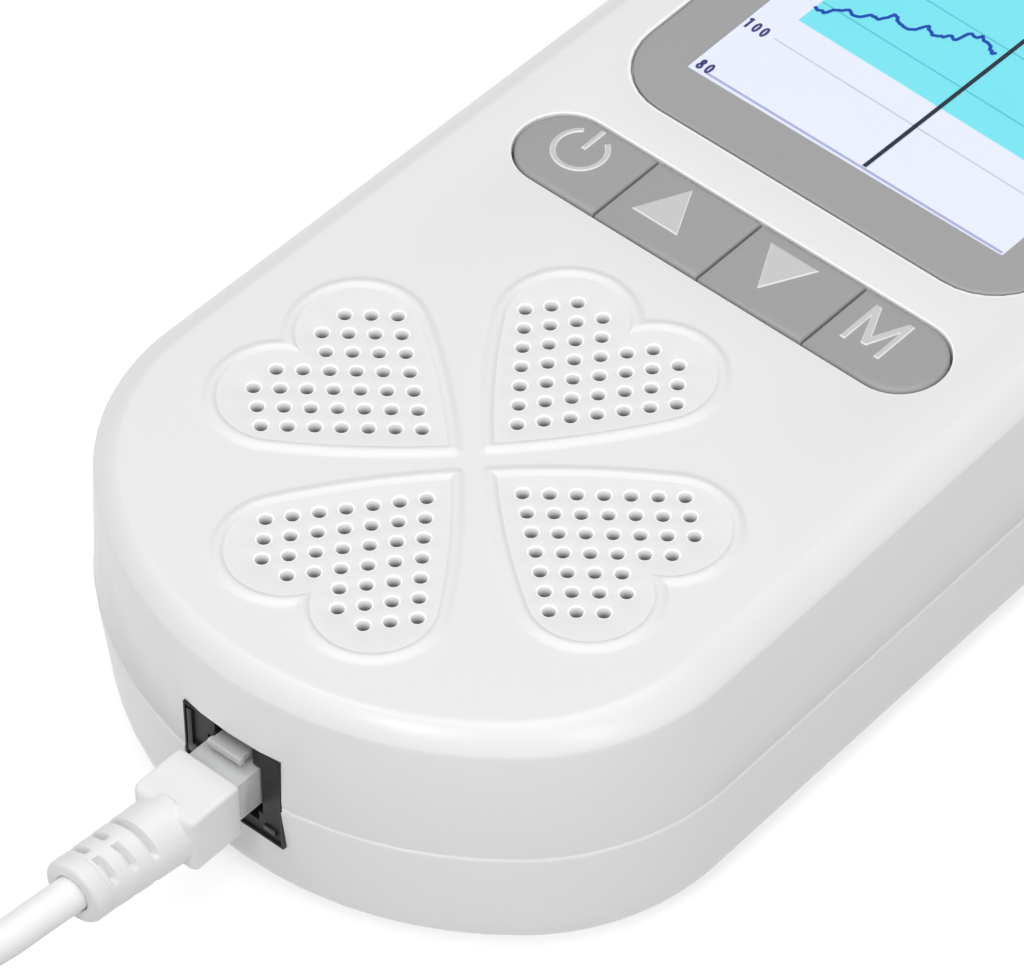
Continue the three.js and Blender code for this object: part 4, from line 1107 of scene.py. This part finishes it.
def plug_tab():
    """The sprung latch: a narrow blade that widens to a lip at its free end."""
    blade = [(-2.35, 0.0), (-2.35, -10.6), (-2.6, -10.9), (-2.6, -11.6), (2.6, -11.6), (2.6, -10.9),
             (2.35, -10.6), (2.35, 0.0)]
    item = painted(prism(blade, 0.0, 1.0, "plug_tab"), PLUG)
    soften(item, 0.16)
    lean = math.asin(0.65 / 11.6)
    item.data.transform(
        Matrix.Translation(Vector((0, -72, 22.2)) * MM) @ Matrix.Rotation(-lean, 4, "X"),
    )
    settle(item, "latch", "plug_clear", "plug_latch")


BOOT_START = -85.9
BLOCK_LENGTH = 8.0
BLOCK_HALF = (4.7, 4.15)
BOOT_LENGTH = 21.4
SLOT_ROWS = [
    (12.5, [(26, 154)]), (15.4, [(30, 82), (98, 150)]), (18.2, [(30, 82), (98, 150)]),
]


def step(value, low, high):
    share = min(max((value - low) / (high - low), 0.0), 1.0)
    return share * share * (3 - 2 * share)


def block_radius(angle, along):
    """Reach of the moulded block, a box with slightly rounded edges and a chamfered rear."""
    if along > BLOCK_LENGTH:
        return 0.0
    inset = 0.0
    if along < 0.35:
        inset = 0.35 - math.sqrt(max(0.35 ** 2 - (0.35 - along) ** 2, 0))
    if along > 7.0:
        inset = 1.0 - math.sqrt(max(1.0 - (along - 7.0) ** 2, 0))
    half_x, half_z = (half - inset for half in BLOCK_HALF)
    edge = 0.55
    x, z = abs(math.cos(angle)), abs(math.sin(angle))
    if x * (half_z - edge) >= z * half_x:
        return half_x / x
    if z * (half_x - edge) >= x * half_z:
        return half_z / z
    towards = x * (half_x - edge) + z * (half_z - edge)
    off = (half_x - edge) ** 2 + (half_z - edge) ** 2
    return towards + math.sqrt(max(towards ** 2 - off + edge ** 2, 0))


def collar_radius(angle, along):
    """Reach of the round collar and the slotted sleeve after it."""
    if along < 6.2:
        return 0.0
    radius = 4.42 - 0.22 * max(along - 8.5, 0) / 12
    radius -= 0.4 * (1 - step(along, 6.2, 6.6))
    if along > 19.0:
        radius = 4.1 + 0.14 * step(along, 19.0, 19.4)
    if along > 20.7:
        radius -= 0.7 - math.sqrt(max(0.7 ** 2 - (along - 20.7) ** 2, 0))
    turn = abs(math.degrees(math.atan2(math.sin(angle), math.cos(angle))))
    for middle, spans in SLOT_ROWS:
        across = 1 - step(abs(along - middle), 0.24, 0.58)
        for first, last in spans:
            within = step(turn, first - 2, first + 7) * (1 - step(turn, last - 7, last + 2))
            radius -= 1.2 * across * within
    return radius


def boot_middle(along):
    share = max(along - BLOCK_LENGTH, 0) / (BOOT_LENGTH - BLOCK_LENGTH)
    return Vector((-1.5 * share, BOOT_START - along, 18.9 - 0.4 * share))


def cord_boot():
    form = Form()
    angles = [TAU * k / 96 for k in range(96)]
    corner = math.atan2(BLOCK_HALF[1], BLOCK_HALF[0])
    for middle in (corner, math.pi - corner, math.pi + corner, TAU - corner):
        angles = [angle for angle in angles if abs(angle - middle) > 0.1]
        angles += [middle + 0.1 * k / 6 for k in range(-6, 7)]
    angles.sort()
    stations = [0.0, 0.03, 0.1, 0.2, 0.35, 3.0, 6.19, 6.21, 6.3, 6.4, 6.6, 7.0, 7.25, 7.5, 7.7, 7.85,
                7.95, 8.0, 8.03, 8.3, 10, 11.6]
    beside = (0.22, 0.3, 0.38, 0.46, 0.53, 0.59, 0.66)
    for middle, _ in SLOT_ROWS:
        stations += [middle - offset for offset in reversed(beside)]
        stations += [middle, *(middle + offset for offset in beside)]
    stations += [18.98, 19.08, 19.2, 19.32, 19.42, 20.7, 20.85, 21.0, 21.12, 21.24, 21.32, 21.38, 21.4]

    def ring(along, reach):
        x, y, z = boot_middle(along)
        spokes = [(angle, reach(angle)) for angle in angles]
        return [(x + r * math.cos(angle), y, z + r * math.sin(angle)) for angle, r in spokes]

    rings = [
        ring(along, lambda angle: max(block_radius(angle, along), collar_radius(angle, along)))
        for along in stations
    ]
    bore = ((21.4, 2.62), (21.32, 2.44), (21.1, 2.36), (19.6, 2.35))
    rings += [ring(along, lambda angle: radius) for along, radius in bore]
    form.solid(rings)
    item = form.make("lead_boot", BOOT, 40)
    settle(item, "lead", "cable_white", "cord_boot")


socket()
plug()
plug_tab()
cord_boot()


# Battery door

def battery_door():
    form = Form()
    rings = [(0.42, 0.5), (0.2, 0.56), (0.06, 0.7), (0.0, 0.92), (0.0, 2.3)]
    form.solid([at(rectangle(*DOOR, inset), z) for inset, z in rings])
    item = form.make("door_panel", WHITE_REAR)
    combine(item, "UNION", [block(-25.1, 25.1, y, y + 5, 1.4, 2.3) for y in HOOK_ROWS])
    grooves = []
    for k in range(5):
        y = -59.4 + 2.4 * k
        form = Form()
        profile = [(y - 0.1, 0.3), (y + 0.15, 0.86), (y + 0.5, 1.0), (y + 0.85, 0.86), (y + 1.1, 0.3)]
        form.solid([[(x, across, z) for across, z in profile] for x in (-9, 9)])
        grooves.append(form.make("groove", WHITE))
    combine(item, "DIFFERENCE", grooves)
    arrow = [(-2.6, -43.6), (0, -46.6), (2.6, -43.6), (1.1, -43.6), (1.1, -40.4), (-1.1, -40.4),
             (-1.1, -43.6)]
    combine(item, "DIFFERENCE", [prism(arrow, 0.2, 0.8)])
    smooth(item)
    settle(painted(item, WHITE_REAR), "battery_door", "housing_white", "battery_door")


battery_door()


# Strap round the coil

STRAP_MIDDLE = (14, -133.28)
STRAP_LOOP = (12.08, 0.6, 11.0, 2.3)


def coil_strap():
    form = Form()
    middle_x, middle_y = STRAP_MIDDLE
    edge = [(-4.5, 0.12), (-4.38, 0.0), (4.38, 0.0), (4.5, 0.12), (4.5, 0.48), (4.38, 0.6),
            (-4.38, 0.6), (-4.5, 0.48)]
    rings = [
        form.ring([(middle_x + x, middle_y + y, z) for y, z in rectangle(*STRAP_LOOP, -out, 7)])
        for x, out in edge
    ]
    for low, high in zip(rings, [*rings[1:], rings[0]]):
        form.bridge(low, high)
    item = form.make("coil_strap", STRAP, 40)
    settle(item, "lead", "tie_black", "coil_tie")
    flap = Form()
    levels = []
    for k in range(15):
        share = k / 14
        y = -141.5 + 14.5 * share
        lift = 0.62 * step(share, 0.0, 0.12) * (1 - 0.2 * step(share, 0.9, 1.0))
        half = 4.3 * math.sqrt(max(1 - max((share - 0.86) / 0.14, 0) ** 2, 0.16))
        z0, z1 = 11.52, 11.6 + lift
        side = [(half, z0), (half, z1 - 0.1), (half - 0.15, z1)]
        levels.append(
            [(middle_x - x, y, z) for x, z in side] + [(middle_x + x, y, z) for x, z in reversed(side)],
        )
    flap.solid(levels)
    settle(flap.make("strap_end", STRAP, 40), "lead", "tie_black")


coil_strap()


# Probe: along its own axis, from the lead's end to its face

PROBE_START = (-20.2, -212, 12.29)
PROBE_TILT = math.atan(5.1 / 71)
PROBE_PROFILE = [
    (0.0, 6.4), (0.25, 6.85), (0.8, 7.35), (2.4, 9.0), (5, 11.1), (9, 12.7), (15, 13.4), (24, 13.38),
    (40, 13.05), (56, 12.6), (66, 12.35), (71, 12.5), (75, 13.3), (79, 14.9), (83, 16.9), (87, 18.15),
    (91, 18.5), (95.6, 18.5), (95.9, 18.35), (96.0, 18.1),
]


def in_probe(x, y, along):
    sine, cosine = math.sin(PROBE_TILT), math.cos(PROBE_TILT)
    return (
        PROBE_START[0] + x,
        PROBE_START[1] + y * sine - along * cosine,
        PROBE_START[2] + y * cosine + along * sine,
    )


def eased(profile, per_span=3):
    """A smooth line through the profile's points, which never overshoots them."""
    slopes = []
    for k in range(len(profile)):
        before, after = profile[max(k - 1, 0)], profile[min(k + 1, len(profile) - 1)]
        here = profile[k]
        left = (here[1] - before[1]) / (here[0] - before[0]) if k else 0
        right = (after[1] - here[1]) / (after[0] - here[0]) if k < len(profile) - 1 else left
        slopes.append(0.0 if left * right <= 0 else 2 * left * right / (left + right))
    made = []
    for k in range(len(profile) - 1):
        (x0, y0), (x1, y1) = profile[k], profile[k + 1]
        wide = x1 - x0
        for i in range(per_span):
            t = i / per_span
            made.append((
                x0 + wide * t,
                (2 * t ** 3 - 3 * t * t + 1) * y0 + (t ** 3 - 2 * t * t + t) * wide * slopes[k]
                + (3 * t * t - 2 * t ** 3) * y1 + (t ** 3 - t * t) * wide * slopes[k + 1],
            ))
    return [*made, profile[-1]]


def probe_half(side, name, node):
    """Half of the hollow grip, split lengthwise with a fine gap between the halves."""
    form = Form()
    outer = eased(PROBE_PROFILE)
    inner = [(max(along, 2.0), max(radius - 2.0, 3.3)) for along, radius in reversed(outer[3:])]
    sides, gap = 30, 0.15

    def half_ring(along, radius):
        start = math.asin(gap / radius)
        half = arc(0, 0, radius, start, math.pi - start, sides)
        return [in_probe(x, side * y, along) for x, y in half]

    section = [(0.0, 3.3), *outer, *inner, (2.0, 3.3)]
    rings = [form.ring(half_ring(along, radius)) for along, radius in section]
    for low, high in zip(rings, [*rings[1:], rings[0]]):
        for k in range(sides):
            form.face(low[k], low[k + 1], high[k + 1], high[k])
    form.cap([ring[0] for ring in rings])
    form.cap([ring[-1] for ring in rings], down=True)
    item = form.make(name, WHITE, 35)
    settle(item, "lead", "housing_white", node)


def spun(name, profile, material, slot, *nodes, sides=56, closed=False, sharp=35):
    """A turned piece on the probe's axis from radius and distance pairs."""
    form = Form()
    rings = [
        form.ring([in_probe(x, y, along) for x, y in round_ring(0, 0, radius, sides)])
        for radius, along in profile
    ]
    for low, high in zip(rings, rings[1:] + (rings[:1] if closed else [])):
        form.bridge(low, high)
    if not closed:
        form.cap(rings[0], down=True)
        form.cap(rings[-1])
    item = form.make(name, material, sharp)
    settle(item, "lead", slot, *nodes)


probe_half(1, "probe_upper", "probe_shell_top")
probe_half(-1, "probe_lower", "probe_shell_bottom")
spun("probe_band", [
    (16.2, 96.35), (17.5, 96.35), (17.72, 96.45), (17.8, 96.7), (17.8, 99.2), (17.7, 99.5),
    (17.4, 99.7), (14.9, 99.7), (14.65, 99.6), (14.6, 99.3), (14.6, 92.3), (16.2, 92.3),
], KEY_GREY, "key_grey", "probe_ring", closed=True)
spun("probe_lens", [
    (0.4, 94.5), (14.3, 94.5), (14.3, 99.7), (14.22, 99.95), (14.0, 100.08), (12, 100.2), (9, 100.33),
    (6, 100.42), (3, 100.48), (0.4, 100.5),
], LENS, "probe_lens", "probe_face")


def relief_profile():
    made = [(2.4, 3.8), (4.4, 3.8), (4.4, 2.3), (3.0, 2.3), (3.0, -0.3), (5.1, -0.3), (5.35, -0.5)]
    for k in range(29):
        along = -0.8 - k * 0.385
        cone = 5.4 - 2.2 * (-along - 0.3) / 11.7
        made.append((cone - 0.22 + 0.22 * math.cos(TAU * (along + 0.8) / 1.54), along))
    return [*made, (3.0, -11.98), (2.5, -11.98), (2.4, -11.8)]


spun(
    "probe_sleeve", relief_profile(), BOOT, "cable_white", "probe_relief",
    sides=40, closed=True, sharp=50,
)


# Materials of the CAD nodes that stay

KEPT = {
    "display_screen": GROUND, "display_module": NICKEL, "main_board": BOARD, "chip": BLACK,
    "switch": BLACK, "plunger": STEEL, "speaker_gasket": FOAM, "speaker_basket": STEEL,
    "speaker_cone": SPEAKER, "speaker_magnet": STEEL, "jack_contact": GOLD, "battery_cell": CELL,
    "battery_spring": STEEL, "battery_plate": STEEL, "case_screw": STEEL, "probe_board": BOARD,
    "probe_crystal": CERAMIC,
}
for name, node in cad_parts.items():
    for start, material in KEPT.items():
        if name.startswith(start):
            painted(node, material)


# Floor, lights and surroundings

def make_floor():
    form = Form()
    reach = 6000
    form.cap(form.ring(at(corners(-reach, reach, -reach, reach), -0.02)))
    finish = Finish("floor_white")
    finish.paint(colour(206, 206, 206), colour(204, 204, 204), 3.0)
    finish.set(Roughness=0.9, Specular_IOR_Level=0.1)
    tree = finish.tree
    grey = (0.6, 0.6, 0.6, 1.0)
    glow = wired(tree, "ShaderNodeEmission", {"Color": grey, "Strength": seen_directly(tree)})
    total = wired(tree, "ShaderNodeAddShader", {0: finish.shader.outputs[0], 1: glow.outputs[0]})
    tree.links.new(total.outputs[0], tree.nodes["Material Output"].inputs["Surface"])
    form.make("floor", finish.material)


BRIGHT_SIDE = (0.5, -0.85, 0.0)
FILL_LIGHT = (0.13, 0.64)
BACKDROP = 0.8


def make_world():
    """A pale surround, a little brighter towards the socket's end."""
    world = bpy.data.worlds.new("studio")
    bpy.context.scene.world = world
    world.use_nodes = True
    tree = world.node_tree
    place = tree.nodes.new("ShaderNodeTexCoord").outputs["Generated"]
    towards = wired(tree, "ShaderNodeVectorMath", {0: place, 1: BRIGHT_SIDE}, operation="DOT_PRODUCT")
    fill = ranged(tree, towards.outputs["Value"], *FILL_LIGHT, -1.0, 1.0)
    strength = wired(tree, "ShaderNodeMix", {0: seen_directly(tree), 2: fill, 3: BACKDROP})
    light = tree.nodes["Background"]
    light.inputs["Color"].default_value = (1.0, 1.0, 1.0, 1.0)
    tree.links.new(strength.outputs[0], light.inputs["Strength"])


def softbox(name, target, direction, distance, width, height, power):
    """A soft rectangular lamp, its target in millimetres and its own size in metres."""
    data = bpy.data.lights.new(name, "AREA")
    data.shape = "RECTANGLE"
    data.size = width
    data.size_y = height
    data.energy = power
    item = bpy.data.objects.new(name, data)
    away = Vector(direction).normalized()
    item.location = Vector(target) * MM + away * distance
    item.rotation_mode = "QUATERNION"
    item.rotation_quaternion = away.to_track_quat("Z", "Y")
    bpy.context.scene.collection.objects.link(item)


make_floor()
make_world()
softbox("overhead", (0, -40, 30), (-0.02, 0.0, 1.0), 1.3, 1.3, 1.3, 9.2)
softbox("front_strip", (21, -74, 35), (0.18, -0.75, 0.64), 0.9, 0.14, 0.26, 1.4)
softbox("side_strip", (34, -61, 35), (0.74, -0.21, 0.64), 0.9, 0.14, 0.26, 0.85)
